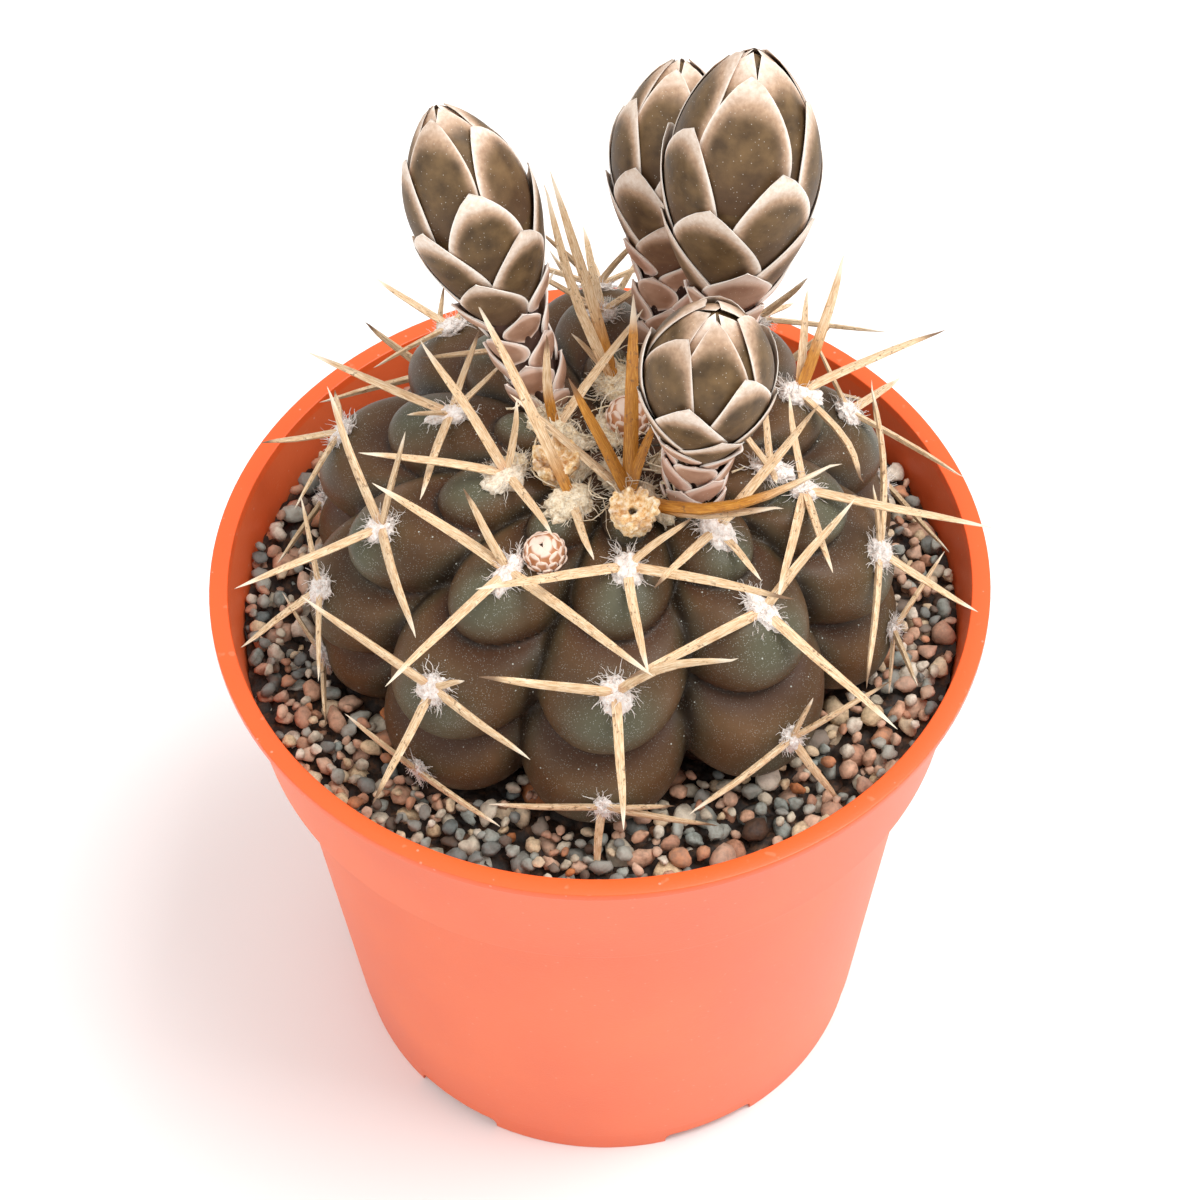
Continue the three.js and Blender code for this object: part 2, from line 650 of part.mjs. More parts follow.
const holder = new THREE.Group();
holder.add(meshOf("pot", makePot(), FINISH.pot));
holder.add(meshOf("soil", makeSoil(), FINISH.soil));
holder.add(meshOf("grit_bed", makeGrit(bodyCutter), FINISH.grit));
cactus.add(holder);

const plant = new THREE.Group();
plant.add(meshOf("cactus_body", makeBody(0), FINISH.skin));
RIBS.forEach(({ name, areoles }, rib) =>
  areoles.forEach((polar, i) => {
    const key = name + (i + 1);
    if (BUDDED.includes(key)) return;
    const spines = SPINES[key] ?? (polar > LOW_POLAR ? LOW_SPINES : USUAL_SPINES);
    const areole = makeAreole(ribAzimuth(rib, polar), polar, spines, bodyCutter);
    plant.add(meshOf("areole_" + key, areole, FINISH.spine));
  }),
);
for (const bud of BUDS) plant.add(meshOf(bud.name, makeBud(bud, bodyCutter), FINISH.bud));
for (const budlet of BUDLETS) {
  plant.add(meshOf(budlet.name, makeBudlet(budlet, bodyCutter), FINISH.budlet));
}
for (const dried of DRIED) {
  plant.add(meshOf(dried.name, makeDried(dried, bodyCutter), FINISH.dried));
}
cactus.add(plant);

export default cactus;
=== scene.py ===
# %% [markdown]
# A round cactus in a nursery pot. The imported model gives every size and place. It stays as it is,
# and this script builds finer pieces where its nodes are, and gives each surface its finish.

# %% Open the frame
import json
import math
import random

import bpy
import numpy as np
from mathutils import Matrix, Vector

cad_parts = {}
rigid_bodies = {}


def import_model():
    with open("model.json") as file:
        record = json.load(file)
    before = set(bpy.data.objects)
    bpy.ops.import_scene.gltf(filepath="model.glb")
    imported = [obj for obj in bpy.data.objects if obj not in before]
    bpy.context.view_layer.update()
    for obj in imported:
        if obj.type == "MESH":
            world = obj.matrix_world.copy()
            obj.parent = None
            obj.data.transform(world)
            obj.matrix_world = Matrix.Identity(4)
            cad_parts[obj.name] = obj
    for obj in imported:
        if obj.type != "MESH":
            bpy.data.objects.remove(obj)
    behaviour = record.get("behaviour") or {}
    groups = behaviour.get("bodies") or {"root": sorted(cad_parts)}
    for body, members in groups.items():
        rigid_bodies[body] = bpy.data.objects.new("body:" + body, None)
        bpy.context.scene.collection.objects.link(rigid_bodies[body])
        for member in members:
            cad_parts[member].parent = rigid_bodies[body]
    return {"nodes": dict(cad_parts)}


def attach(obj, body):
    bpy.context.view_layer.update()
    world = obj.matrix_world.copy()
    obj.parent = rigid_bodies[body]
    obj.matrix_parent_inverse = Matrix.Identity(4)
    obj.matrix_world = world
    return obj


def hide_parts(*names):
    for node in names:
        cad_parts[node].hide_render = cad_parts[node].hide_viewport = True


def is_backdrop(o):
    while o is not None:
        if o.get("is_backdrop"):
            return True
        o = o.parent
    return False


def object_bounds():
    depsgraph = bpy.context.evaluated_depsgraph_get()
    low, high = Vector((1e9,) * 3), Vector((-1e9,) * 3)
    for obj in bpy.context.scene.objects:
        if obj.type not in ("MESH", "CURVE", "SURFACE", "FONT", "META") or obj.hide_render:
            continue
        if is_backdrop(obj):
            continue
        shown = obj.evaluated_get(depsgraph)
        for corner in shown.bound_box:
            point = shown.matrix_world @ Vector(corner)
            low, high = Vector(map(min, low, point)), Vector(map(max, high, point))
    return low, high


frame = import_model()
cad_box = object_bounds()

MM = 0.001  # the scene is in metres, and the plant's sizes are easier to read in millimetres
print("frame:", len(frame["nodes"]), "nodes, box", cad_box)

# %% [markdown]
# Every finish below is a graph of shader nodes. Its maths is easier to read as an expression, so a
# small class wraps one socket and turns + - * into Math nodes. Any other node comes from one
# method, which sets the node's options first and then its values or links.

# %% Shader maths as expressions
class Wire:
    """An output socket that can stand in an expression."""

    def __init__(self, finish, socket):
        self.finish, self.socket = finish, socket

    def maths(self, operation, a, b):
        return self.finish.node("ShaderNodeMath", {"operation": operation}, {0: a, 1: b})

    def __add__(self, other): return self.maths("ADD", self, other)
    def __radd__(self, other): return self.maths("ADD", other, self)
    def __sub__(self, other): return self.maths("SUBTRACT", self, other)
    def __rsub__(self, other): return self.maths("SUBTRACT", other, self)
    def __mul__(self, other): return self.maths("MULTIPLY", self, other)
    def __rmul__(self, other): return self.maths("MULTIPLY", other, self)

    def above(self, low, high):
        """0 below low, 1 above high, and smooth between them."""
        options = {"interpolation_type": "SMOOTHSTEP"}
        sockets = {"Value": self, "From Min": low, "From Max": high}
        return self.finish.node("ShaderNodeMapRange", options, sockets)


def set_stops(ramp, blend, stops):
    while len(ramp.elements) > len(stops):
        ramp.elements.remove(ramp.elements[-1])
    while len(ramp.elements) < len(stops):
        ramp.elements.new(1.0)
    for element, (place, colour) in zip(ramp.elements, stops):
        element.position, element.color = place, colour
    ramp.interpolation = blend


class Finish:
    """A material with its shader, and helpers that add nodes to it."""

    def __init__(self, name, gloss=0.5):
        self.material = bpy.data.materials.new(name)
        self.material.use_nodes = True
        self.tree = self.material.node_tree
        self.shader = self.tree.nodes["Principled BSDF"]
        self.feed("Specular IOR Level", gloss)

    def feed(self, socket, value):
        self.plug(self.shader.inputs[socket], value)

    def plug(self, socket, value):
        if isinstance(value, Wire):
            self.tree.links.new(value.socket, socket)
        else:
            socket.default_value = value

    def node(self, kind, options, sockets, output=0):
        made = self.tree.nodes.new(kind)
        for option, value in options.items():
            if option == "stops":
                set_stops(made.color_ramp, *value)
            else:
                setattr(made, option, value)
        for socket, value in sockets.items():
            self.plug(made.inputs[socket], value)
        return Wire(self, made.outputs[output])

    def where(self):
        return self.node("ShaderNodeTexCoord", {}, {}, "Object")

    def value_of(self, attribute):
        return self.node("ShaderNodeAttribute", {"attribute_name": attribute}, {}, "Fac")

    def noise(self, scale, detail, roughness=0.5, at=None):
        sockets = {"Vector": at or self.where(), "Scale": scale}
        sockets |= {"Detail": detail, "Roughness": roughness}
        return self.node("ShaderNodeTexNoise", {}, sockets, "Fac")

    def dots(self, scale, size):
        """1 inside small round dots, of a share of the cell's size, and 0 outside."""
        sockets = {"Vector": self.where(), "Scale": scale}
        distance = self.node("ShaderNodeTexVoronoi", {}, sockets, "Distance")
        return 1 - distance.above(size * 0.6, size)

    def mix(self, share, a, b, blend="MIX"):
        """Colour a, with a share of colour b over it or, with blend MULTIPLY, times it."""
        options = {"data_type": "RGBA", "blend_type": blend}
        return self.node("ShaderNodeMix", options, {0: share, 6: paint(a), 7: paint(b)}, 2)

    def ramp(self, value, *stops, blend="LINEAR"):
        """A colour for each value, between stops of (place, colour)."""
        stops = [(place, paint(colour)) for place, colour in stops]
        options = {"stops": (blend, stops)}
        return self.node("ShaderNodeValToRGB", options, {"Fac": value}, "Color")

    def bump(self, height, distance, strength, under=None):
        sockets = {"Height": height, "Distance": distance, "Strength": strength}
        if under:
            sockets["Normal"] = under
        return self.node("ShaderNodeBump", {}, sockets, "Normal")


def paint(colour):
    """A colour from its usual screen code, such as "f07448". Other values pass as they are."""
    if not isinstance(colour, str):
        return colour
    parts = [int(colour[i:i + 2], 16) / 255 for i in (0, 2, 4)]
    return tuple(p / 12.92 if p < 0.04 else ((p + 0.055) / 1.055) ** 2.4 for p in parts) + (1.0,)


print("shader helpers ready")

# %% [markdown]
# Pieces are shaped in edit mode, as by hand. What repeats, such as a spine, a scale or a stone, is
# modelled once. Each copy then gets its own corners, bent and placed by a small function, and the
# copies of one piece are gathered in one mesh. Values that a finish needs, such as how far along a
# spine a corner lies, go with the corners as attributes.

# %% Helpers for modelling
def start_clean():
    """Nothing selected, as each new primitive and operator needs."""
    bpy.ops.object.select_all(action="DESELECT")


def take_up(piece):
    start_clean()
    piece.select_set(True)
    bpy.context.view_layer.objects.active = piece


def edit_all():
    bpy.ops.object.mode_set(mode="EDIT")
    bpy.ops.mesh.select_all(action="SELECT")


def press(x, y, height):
    """Resizes what is selected, across and deep only, about the axis at a height."""
    bpy.ops.transform.resize(value=(x, y, 1), center_override=(0, 0, height))


def extrude_up(climb, share=None, height=0):
    """The selected ring extruded upwards and, with a share, resized at its new height."""
    bpy.ops.mesh.extrude_region_move(TRANSFORM_OT_translate={"value": (0, 0, climb)})
    if share is not None:
        press(share, share, height)


def make_tidy():
    """Doubles merged and faces turned outwards on the active object."""
    edit_all()
    bpy.ops.mesh.remove_doubles(threshold=1e-7)
    bpy.ops.mesh.normals_make_consistent(inside=False)
    bpy.ops.object.mode_set(mode="OBJECT")


def apply_modifier(piece, kind, **options):
    modifier = piece.modifiers.new(kind.title(), kind)
    for option, value in options.items():
        setattr(modifier, option, value)
    bpy.ops.object.modifier_apply(modifier=modifier.name)


def dress(piece, name, finish, smooth, replaces=()):
    """Names a finished piece, gives it its material, fixes it to the frame and hides the nodes it
    replaces.
    """
    piece.name = piece.data.name = name
    piece.data.materials.clear()
    piece.data.materials.append(finish.material)
    take_up(piece)
    bpy.ops.object.transform_apply()
    bpy.ops.object.shade_smooth_by_angle(angle=math.radians(smooth))
    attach(piece, "root")
    if replaces:
        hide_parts(*replaces)


def take_shape(piece):
    """The corners and faces of a modelled piece, which is then deleted."""
    corners = np.array([v.co for v in piece.data.vertices])
    faces = [tuple(p.vertices) for p in piece.data.polygons]
    bpy.data.objects.remove(piece)
    return corners, faces


def mark(mesh, name, values):
    """A value at every corner, which a finish can read as an attribute."""
    layer = mesh.attributes.new(name, "FLOAT", "POINT")
    layer.data.foreach_set("value", values.astype(np.float32))


def gather(copies):
    """One object from [(corners in millimetres, faces, {attribute: values})]."""
    mesh = bpy.data.meshes.new("gathered")
    corners, faces, first = [], [], 0
    for spots, polygons, _ in copies:
        corners.append(spots)
        faces += [tuple(first + i for i in polygon) for polygon in polygons]
        first += len(spots)
    mesh.from_pydata((np.concatenate(corners) * MM).tolist(), [], faces)
    for name in copies[0][2]:
        values = [np.broadcast_to(marks[name], len(spots)) for spots, _, marks in copies]
        mark(mesh, name, np.concatenate(values))
    piece = bpy.data.objects.new("gathered", mesh)
    bpy.context.collection.objects.link(piece)
    take_up(piece)
    edit_all()
    bpy.ops.mesh.normals_make_consistent(inside=False)
    bpy.ops.object.mode_set(mode="OBJECT")
    return piece


def unit(v):
    return v / np.linalg.norm(v)


print("modelling helpers ready")

# %% [markdown]
# The pot is moulded from soft plastic: a tapered wall with a stepped collar, a narrow lip and a
# foot ring cut into six feet. It could be spun from a half outline, but one circle, extruded and
# resized ring by ring, is as quick and leaves no seam. A bevel then rounds its corners.

# %% The pot's wall
POT_SIDES = 144
RIM_RADIUS, POT_HEIGHT = 52.5, 90.8
COLLAR_TOP_RADIUS, COLLAR_FOOT_RADIUS, COLLAR_FOOT = 51.0, 48.2, 69.6
WALL_TOP_RADIUS, FOOT_RADIUS, WALL = 45.2, 38.2, 1.0
LINE_HEIGHT, FLOOR_UNDERSIDE, FLOOR_TOP, RING_INNER_RADIUS = 4.6, 2.4, 3.8, 34.4
LIP_FOOT = POT_HEIGHT - 1.4
POT_OUTLINE = [  # radius and height of each ring, from the floor's underside round to its top
    (RING_INNER_RADIUS, FLOOR_UNDERSIDE),
    (RING_INNER_RADIUS, 0),
    (FOOT_RADIUS, 0),
    (FOOT_RADIUS + 0.35, LINE_HEIGHT - 0.1),
    (FOOT_RADIUS + 0.65, LINE_HEIGHT + 0.1),
    (WALL_TOP_RADIUS, COLLAR_FOOT - 1),
    (COLLAR_FOOT_RADIUS - 0.1, COLLAR_FOOT - 0.4),
    (COLLAR_FOOT_RADIUS, COLLAR_FOOT),
    (COLLAR_TOP_RADIUS, LIP_FOOT),
    (RIM_RADIUS, LIP_FOOT + 0.1),
    (RIM_RADIUS, POT_HEIGHT),
    (COLLAR_TOP_RADIUS - WALL, POT_HEIGHT),
    (COLLAR_FOOT_RADIUS - WALL, COLLAR_FOOT + 0.6),
    (WALL_TOP_RADIUS - WALL, COLLAR_FOOT - 1),
    (FOOT_RADIUS - WALL, FLOOR_TOP),
]


def turn_wall(outline, sides):
    """A turned solid, raised ring by ring from a filled circle and closed at its last ring."""
    start_clean()
    radius, height = (size * MM for size in outline[0])
    bpy.ops.mesh.primitive_circle_add(
        vertices=sides, radius=radius, fill_type="TRIFAN", location=(0, 0, height)
    )
    piece = bpy.context.object
    edit_all()
    bpy.ops.mesh.region_to_loop()
    for next_radius, next_height in outline[1:]:
        climb = next_height * MM - height
        share = next_radius * MM / radius
        radius, height = next_radius * MM, next_height * MM
        extrude_up(climb, share, height)
    bpy.ops.mesh.extrude_region_move()
    bpy.ops.mesh.merge(type="CENTER")
    bpy.ops.object.mode_set(mode="OBJECT")
    make_tidy()
    return piece


pot = turn_wall(POT_OUTLINE, POT_SIDES)
apply_modifier(pot, "BEVEL", width=0.3 * MM, segments=3, angle_limit=math.radians(35))
print("pot wall:", len(pot.data.polygons), "faces")

# %% [markdown]
# The feet and the drain holes are openings. A Boolean modifier cuts them with boxes whose corners
# are bevelled first, so that the moulded corners come out round.

# %% Feet and drain holes
NOTCHES, FIRST_NOTCH, NOTCH_WIDTH, NOTCH_HEIGHT, NOTCH_REACH = 6, 23, 14, 2, 6
DRAINS, FIRST_DRAIN, DRAIN_RADIUS, DRAIN_CIRCLE = 6, -7, 3.2, 25


def on_circle(radius, azimuth):
    turn = math.radians(azimuth)
    return radius * MM * math.sin(turn), -radius * MM * math.cos(turn), 0


def cut_away(piece, cutter):
    take_up(piece)
    apply_modifier(piece, "BOOLEAN", operation="DIFFERENCE", object=cutter, solver="EXACT")
    bpy.data.objects.remove(cutter)


for notch in range(NOTCHES):
    azimuth = FIRST_NOTCH + notch * 360 / NOTCHES
    start_clean()
    bpy.ops.mesh.primitive_cube_add(
        location=on_circle(FOOT_RADIUS, azimuth), rotation=(0, 0, math.radians(azimuth))
    )
    box = bpy.context.object
    box.scale = (NOTCH_WIDTH / 2 * MM, NOTCH_REACH * MM, NOTCH_HEIGHT * MM)
    bpy.ops.object.transform_apply(location=False)
    edit_all()
    bpy.ops.mesh.bevel(offset=1.1 * MM, segments=4)
    bpy.ops.object.mode_set(mode="OBJECT")
    cut_away(pot, box)
for drain in range(DRAINS):
    start_clean()
    bpy.ops.mesh.primitive_cylinder_add(
        vertices=32,
        radius=DRAIN_RADIUS * MM,
        depth=4 * FLOOR_TOP * MM,
        location=on_circle(DRAIN_CIRCLE, FIRST_DRAIN + drain * 360 / DRAINS),
    )
    cut_away(pot, bpy.context.object)
print("pot with feet:", len(pot.data.polygons), "faces")

# %% [markdown]
# The plastic is a warm orange with a satin skin. Up close it has a very fine grain, faint flow
# clouds from the mould, a few rubbed scratches and some pale dust. The lip is a little more worn
# and glossier than the wall.

# %% The pot's plastic
plastic = Finish("orange_pot_plastic", gloss=0.45)
spot = plastic.where()
height = plastic.node("ShaderNodeSeparateXYZ", {}, {0: spot}, 2)
clouds = plastic.noise(38, 4)
shade = plastic.ramp(clouds, (0.3, "e46030"), (0.7, "ee7141"))
lip = height.above((LIP_FOOT - 0.1) * MM, (LIP_FOOT + 0.4) * MM)
inside = plastic.mix(lip, shade, "f0602a")
stretch = plastic.node("ShaderNodeMapping", {}, {"Vector": spot, "Scale": (60, 60, 900)})
scratches = plastic.noise(8, 2, at=stretch).above(0.68, 0.74)
dust = plastic.dots(420, 0.09)
worn = plastic.mix(scratches * 0.16, inside, "ffb291")
plastic.feed("Base Color", plastic.mix(dust * 0.2, worn, "f6e3d4"))
plastic.feed("Roughness", 0.36 + clouds * 0.14 - lip * 0.08 + dust * 0.2)
grain = plastic.bump(plastic.noise(2600, 3), 0.00006, 0.35)
plastic.feed("Normal", plastic.bump(scratches, 0.00003, 0.3, grain))
dress(pot, "nursery_pot", plastic, 30, ["pot"])
print("pot dressed")

# %% [markdown]
# The cactus is one low globe with ten ribs. Every rib is a row of blunt tubercles: each bulges out
# below its felt cushion and tucks in to a sharp crease over the next one. Sculpting this by hand
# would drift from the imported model, so the skin is a fine ball whose corners are all moved by one
# formula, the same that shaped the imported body.

# %% The body's formula
MIDDLE = (0.5, 0.8, 91.8)  # lengths are in millimetres and angles in degrees
BODY_RADIUS, RISE_ABOVE, DROP_BELOW, SQUARENESS = 40.5, 28, 17.5, 2.4
CROWN_DIP, CROWN_DIP_ANGLE = 2, 18
LEAN = (3, -3)  # how far the crown has grown to one side
SWIRL, RIB_COUNT, RIB_OFFSET = 7, 10, -1
RIB_STEP = 360 / RIB_COUNT
FURROW, CREASE = 0.49, 0.37  # depths, as shares of a rib's half width
ROUND, SOFTEN = 2.5, 0.3  # how round a rib is across, and how soft its furrow is
CREASE_ARC = 8.0  # how far a crease climbs from the middle of its rib to the furrow
LOWEST, CREASE_AT, TOP_AT = 15, 0.67, 0.33  # where the creases lie between the cushions
RIBS = {  # polar angles (0 is straight up) of the cushions on each rib, from ground to crown
    "a": [90, 64, 39, 20],
    "j": [85, 57, 37, 20],
    "i": [90, 69, 48, 38],
    "k": [89, 64, 48, 24],
    "g": [90, 68, 43],
    "f": [86, 66, 44, 20],
    "e": [88, 63, 40],
    "d": [93, 68, 41, 18],
    "c": [98, 76, 56, 30],
    "b": [95, 71, 45, 24],
}
ROWS = list(RIBS.values())


def outline(polar):
    """Distance from the body's middle to its plain outline, at a polar angle in degrees."""
    turn = np.radians(polar)
    across = np.abs(np.sin(turn)) / BODY_RADIUS
    along = np.abs(np.cos(turn)) / np.where(polar < 90, RISE_ABOVE, DROP_BELOW)
    dip = CROWN_DIP * np.exp(-((polar / CROWN_DIP_ANGLE) ** 2))
    return (across**SQUARENESS + along**SQUARENESS) ** (-1 / SQUARENESS) - dip


def swirl_at(polar):
    """How far the ribs have turned round the plant at a polar angle."""
    return RIB_OFFSET + SWIRL * (90 - polar) / 90


def tubercle(row, polar):
    """1 on the fullest part of a tubercle and 0 in the crease below or above it."""
    last = len(row) - 1
    gaps = [row[i] - row[i + 1] for i in range(last)] + [row[last] * 0.7]
    top = row[last] - TOP_AT * gaps[last]
    creases = [row[0] + LOWEST]
    creases += [row[i] + CREASE_AT * (row[i - 1] - row[i]) for i in range(1, last + 1)]
    fullness = np.clip(polar / top, 0, 1) * 0.5
    for i in range(last + 1):
        start = top if i == last else creases[i + 1]
        share = np.clip((polar - start) / (creases[i] - start), 0, 1)
        bulge = 1 - np.abs(2 * share**1.2 - 1) ** 3
        inside = (polar >= start) & ((polar < creases[i]) | (i == 0))
        fullness = np.where(inside, bulge, fullness)
    return fullness


def soft_max(a, b):
    """The higher of two surfaces, with the valley where they meet rounded."""
    return (a + b + np.hypot(a - b, SOFTEN)) / 2


def on_rib(azimuth, polar):
    """Yields (rib, how far aside of its middle: 1 is the furrow) for the three nearest ribs."""
    around = (azimuth - swirl_at(polar)) / RIB_STEP
    nearest = np.round(around)
    for side in (-1, 0, 1):
        rib = nearest + side
        yield (rib % RIB_COUNT).astype(int), np.abs(2 * (around - rib))


def fullness_on(rib, aside, polar):
    """The fullness of each point's own tubercle, whose creases bow upwards beside the rib."""
    bent = polar + CREASE_ARC * np.minimum(aside, 1) ** 2
    table = np.stack([tubercle(row, bent) for row in ROWS])
    return np.take_along_axis(table, rib[None], 0)[0]


def relief(azimuth, polar):
    """How far the skin lies under the plain outline, in the furrows and creases."""
    girth = outline(polar) * np.sin(np.radians(np.minimum(polar, 90)))
    half_width = girth * math.radians(RIB_STEP / 2)
    height = None
    for rib, aside in on_rib(azimuth, polar):
        crease = CREASE * (1 - fullness_on(rib, aside, polar))
        one = -half_width * (crease + FURROW * aside**ROUND)
        height = one if height is None else soft_max(height, one)
    return height


def skin(azimuth, polar, out=0.0, with_relief=True):
    """Points of the skin, or of a surface that lies out from it, in millimetres."""
    azimuth, polar = np.broadcast_arrays(np.asarray(azimuth, float), np.asarray(polar, float))
    lift = relief(np.atleast_1d(azimuth), np.atleast_1d(polar)) if with_relief else 0.0
    reach = outline(polar) + np.reshape(lift, azimuth.shape if with_relief else ()) + out
    drift = np.maximum(np.cos(np.radians(polar)), 0) ** 2
    level = reach * np.sin(np.radians(polar))
    x = MIDDLE[0] + LEAN[0] * drift + level * np.sin(np.radians(azimuth))
    y = MIDDLE[1] + LEAN[1] * drift - level * np.cos(np.radians(azimuth))
    return np.stack([x, y, MIDDLE[2] + reach * np.cos(np.radians(polar))], -1)


print("crown at", skin(0, 0.01).round(2), "mm")

# %% [markdown]
# The ball starts as a UV sphere with corners close enough for the creases. Three values go with each
# corner for the finish: how deep it lies in a furrow and how deep in a crease, which both set painted
# shade, and how near it is to the grey-green patch that spreads below each felt cushion, which also
# carries a painted highlight.

# %% The body
PATCH_BELOW, PATCH_HIGH, PATCH_WIDE = 6.5, 9.5, 0.65  # in degrees, and as a share of the rib


def patch_at(azimuth, polar):
    """1 just below the middle of a felt cushion, fading away over the tubercle."""
    patch = np.zeros(len(polar))
    for rib, aside in on_rib(azimuth, polar):
        for number, row in enumerate(ROWS):
            for areole in row:
                below = (polar - areole - PATCH_BELOW) / PATCH_HIGH
                fade = np.exp(-(below**2) - (aside / PATCH_WIDE) ** 2)
                patch = np.where(rib == number, np.maximum(patch, fade), patch)
    return patch


start_clean()
bpy.ops.mesh.primitive_uv_sphere_add(segments=420, ring_count=190, radius=1)
body = bpy.context.object
ball = np.array([v.co for v in body.data.vertices])
polar = np.degrees(np.arccos(np.clip(ball[:, 2], -1, 1)))
azimuth = np.degrees(np.arctan2(ball[:, 0], -ball[:, 1]))
body.data.vertices.foreach_set("co", (skin(azimuth, polar) * MM).ravel())
_, (own_rib, own_aside), _ = on_rib(azimuth, polar)
mark(body.data, "furrow", np.clip(own_aside, 0, 1))
mark(body.data, "crease", 1 - fullness_on(own_rib, own_aside, polar))
mark(body.data, "patch", patch_at(azimuth, polar))
print("body:", len(ball), "corners")

# %% [markdown]
# The skin is dull brown with a satin sheen. Below each cushion it turns grey-green, partly its own
# bloom and partly a painted highlight. In the furrows it turns dark green, partly their own tint and
# partly painted shade, and where a tubercle tucks in it turns reddish, partly its own tint and partly
# painted shade. The bottoms of furrows and creases get a nearly black painted shade. Close up it is
# full of tiny pale dots, with larger ones here and there, and it has a fine pebbled grain.

# %% The skin
hide = Finish("cactus_skin", gloss=0.2)
furrow, crease, patch = (hide.value_of(name) for name in ("furrow", "crease", "patch"))
mottle = hide.noise(95, 4)
fine = hide.noise(900, 3)
brown = hide.ramp(mottle, (0.3, "4b3522"), (0.55, "5a4129"), (0.75, "6a4e36"))
# reddish where a tubercle tucks in: partly its own tint, partly painted shade in the crease
reddish_and_shaded = hide.mix(crease.above(0.15, 0.85) * 0.65, brown, "43271a")
# grey-green below each cushion: partly the skin's own bloom, partly a painted highlight
green_and_highlight = (patch * (0.6 + mottle * 0.6)).above(0.15, 0.9)
greened_and_lit = hide.mix(green_and_highlight * 0.85, reddish_and_shaded, "575847")
# dark green in the furrows: partly their own tint, partly painted shade
shaded = hide.mix(furrow.above(0.72, 0.9) * 0.45, greened_and_lit, "343526")
# painted shade: nearly black at the bottom of furrows and creases
groove_shade = furrow.above(0.86, 1.0)
pit_shade = groove_shade + crease.above(0.8, 1.0) * (1 - groove_shade)
shaded = hide.mix(pit_shade * 0.8, shaded, "1a130d")
specks = hide.dots(3900, 0.3) * (0.4 + patch * 0.6) * fine.above(0.36, 0.56)
stars = hide.dots(560, 0.075)
hide.feed("Base Color", hide.mix(specks * 0.42 + stars * 0.75, shaded, "c9ccc2"))
hide.feed("Roughness", 0.4 + mottle * 0.14 - patch * 0.08)
pebbles = hide.bump(hide.noise(3800, 2), 0.00008, 0.35)
hide.feed("Normal", hide.bump(specks + stars, 0.00005, 0.5, pebbles))
dress(body, "cactus_skin_body", hide, 180, ["cactus_body"])
print("body dressed")

# %% [markdown]
# Between the cactus and the pot lies grit: small worn stones over dark soil. The soil between them
# is a disc, subdivided and pushed up and down with noise until it is crumbly.

# %% The soil between the stones
GRIT_TOP, BED, WALL_GAP = 82.2, 80.9, 0.35
BED_SIDES, BED_RINGS, BED_SHARE = 120, 14, 0.96


def inner_wall(z):
    """Radius of the pot's inner wall behind the collar, at a height."""
    share = (z - COLLAR_FOOT - 0.6) / (POT_HEIGHT - COLLAR_FOOT - 0.6)
    return (COLLAR_FOOT_RADIUS + (COLLAR_TOP_RADIUS - COLLAR_FOOT_RADIUS) * share) - WALL


start_clean()
bed_radius = (inner_wall(GRIT_TOP) - WALL_GAP) * MM
bpy.ops.mesh.primitive_circle_add(
    vertices=BED_SIDES, radius=bed_radius, fill_type="NOTHING", location=(0, 0, BED * MM)
)
soil_bed = bpy.context.object
edit_all()
for ring in range(BED_RINGS):  # in under the foot of the cactus
    bpy.ops.mesh.extrude_region_move()
    press(BED_SHARE, BED_SHARE, BED * MM)
bpy.ops.mesh.select_all(action="SELECT")
bpy.ops.mesh.subdivide(number_cuts=1)
bpy.ops.object.mode_set(mode="OBJECT")
crumbs = bpy.data.textures.new("crumbs", "CLOUDS")
crumbs.noise_scale = 1.6 * MM
crumbs.noise_depth = 3
apply_modifier(soil_bed, "SUBSURF", levels=1, render_levels=1)
apply_modifier(soil_bed, "DISPLACE", texture=crumbs, strength=2.2 * MM, mid_level=0.6)
apply_modifier(soil_bed, "SOLIDIFY", thickness=0.8 * MM, offset=-1)
print("soil bed:", len(soil_bed.data.polygons), "faces")

# %% [markdown]
# Potting soil is nearly black when damp and has brown crumbs. One noise gives its colour, its
# roughness and its bump, so that the high crumbs are the pale dry ones. The packed soil below the
# stones keeps its own shape and gets the same finish.

# %% The soil's finish
mould = Finish("potting_soil")
crumb = mould.noise(700, 5, 0.6)
mould.feed("Base Color", mould.ramp(crumb, (0.35, "140d08"), (0.52, "2e1e13"), (0.68, "5c3d26")))
mould.feed("Roughness", 0.5 + crumb * 0.4)
mould.feed("Normal", mould.bump(crumb, 0.0004, 0.9))
dress(soil_bed, "soil_between_stones", mould, 60)
soil = frame["nodes"]["soil"]
soil.data.materials.clear()
soil.data.materials.append(mould.material)
print("soil dressed")

# %% [markdown]
# The stones are bits of broken, worn clay and rock, 1.5 to 5 mm across. A few are modelled from an
# ico sphere, each squeezed and dented in its own way, and all the stones are turned copies of them.

# %% A few stones
STONE_SHAPES = 9


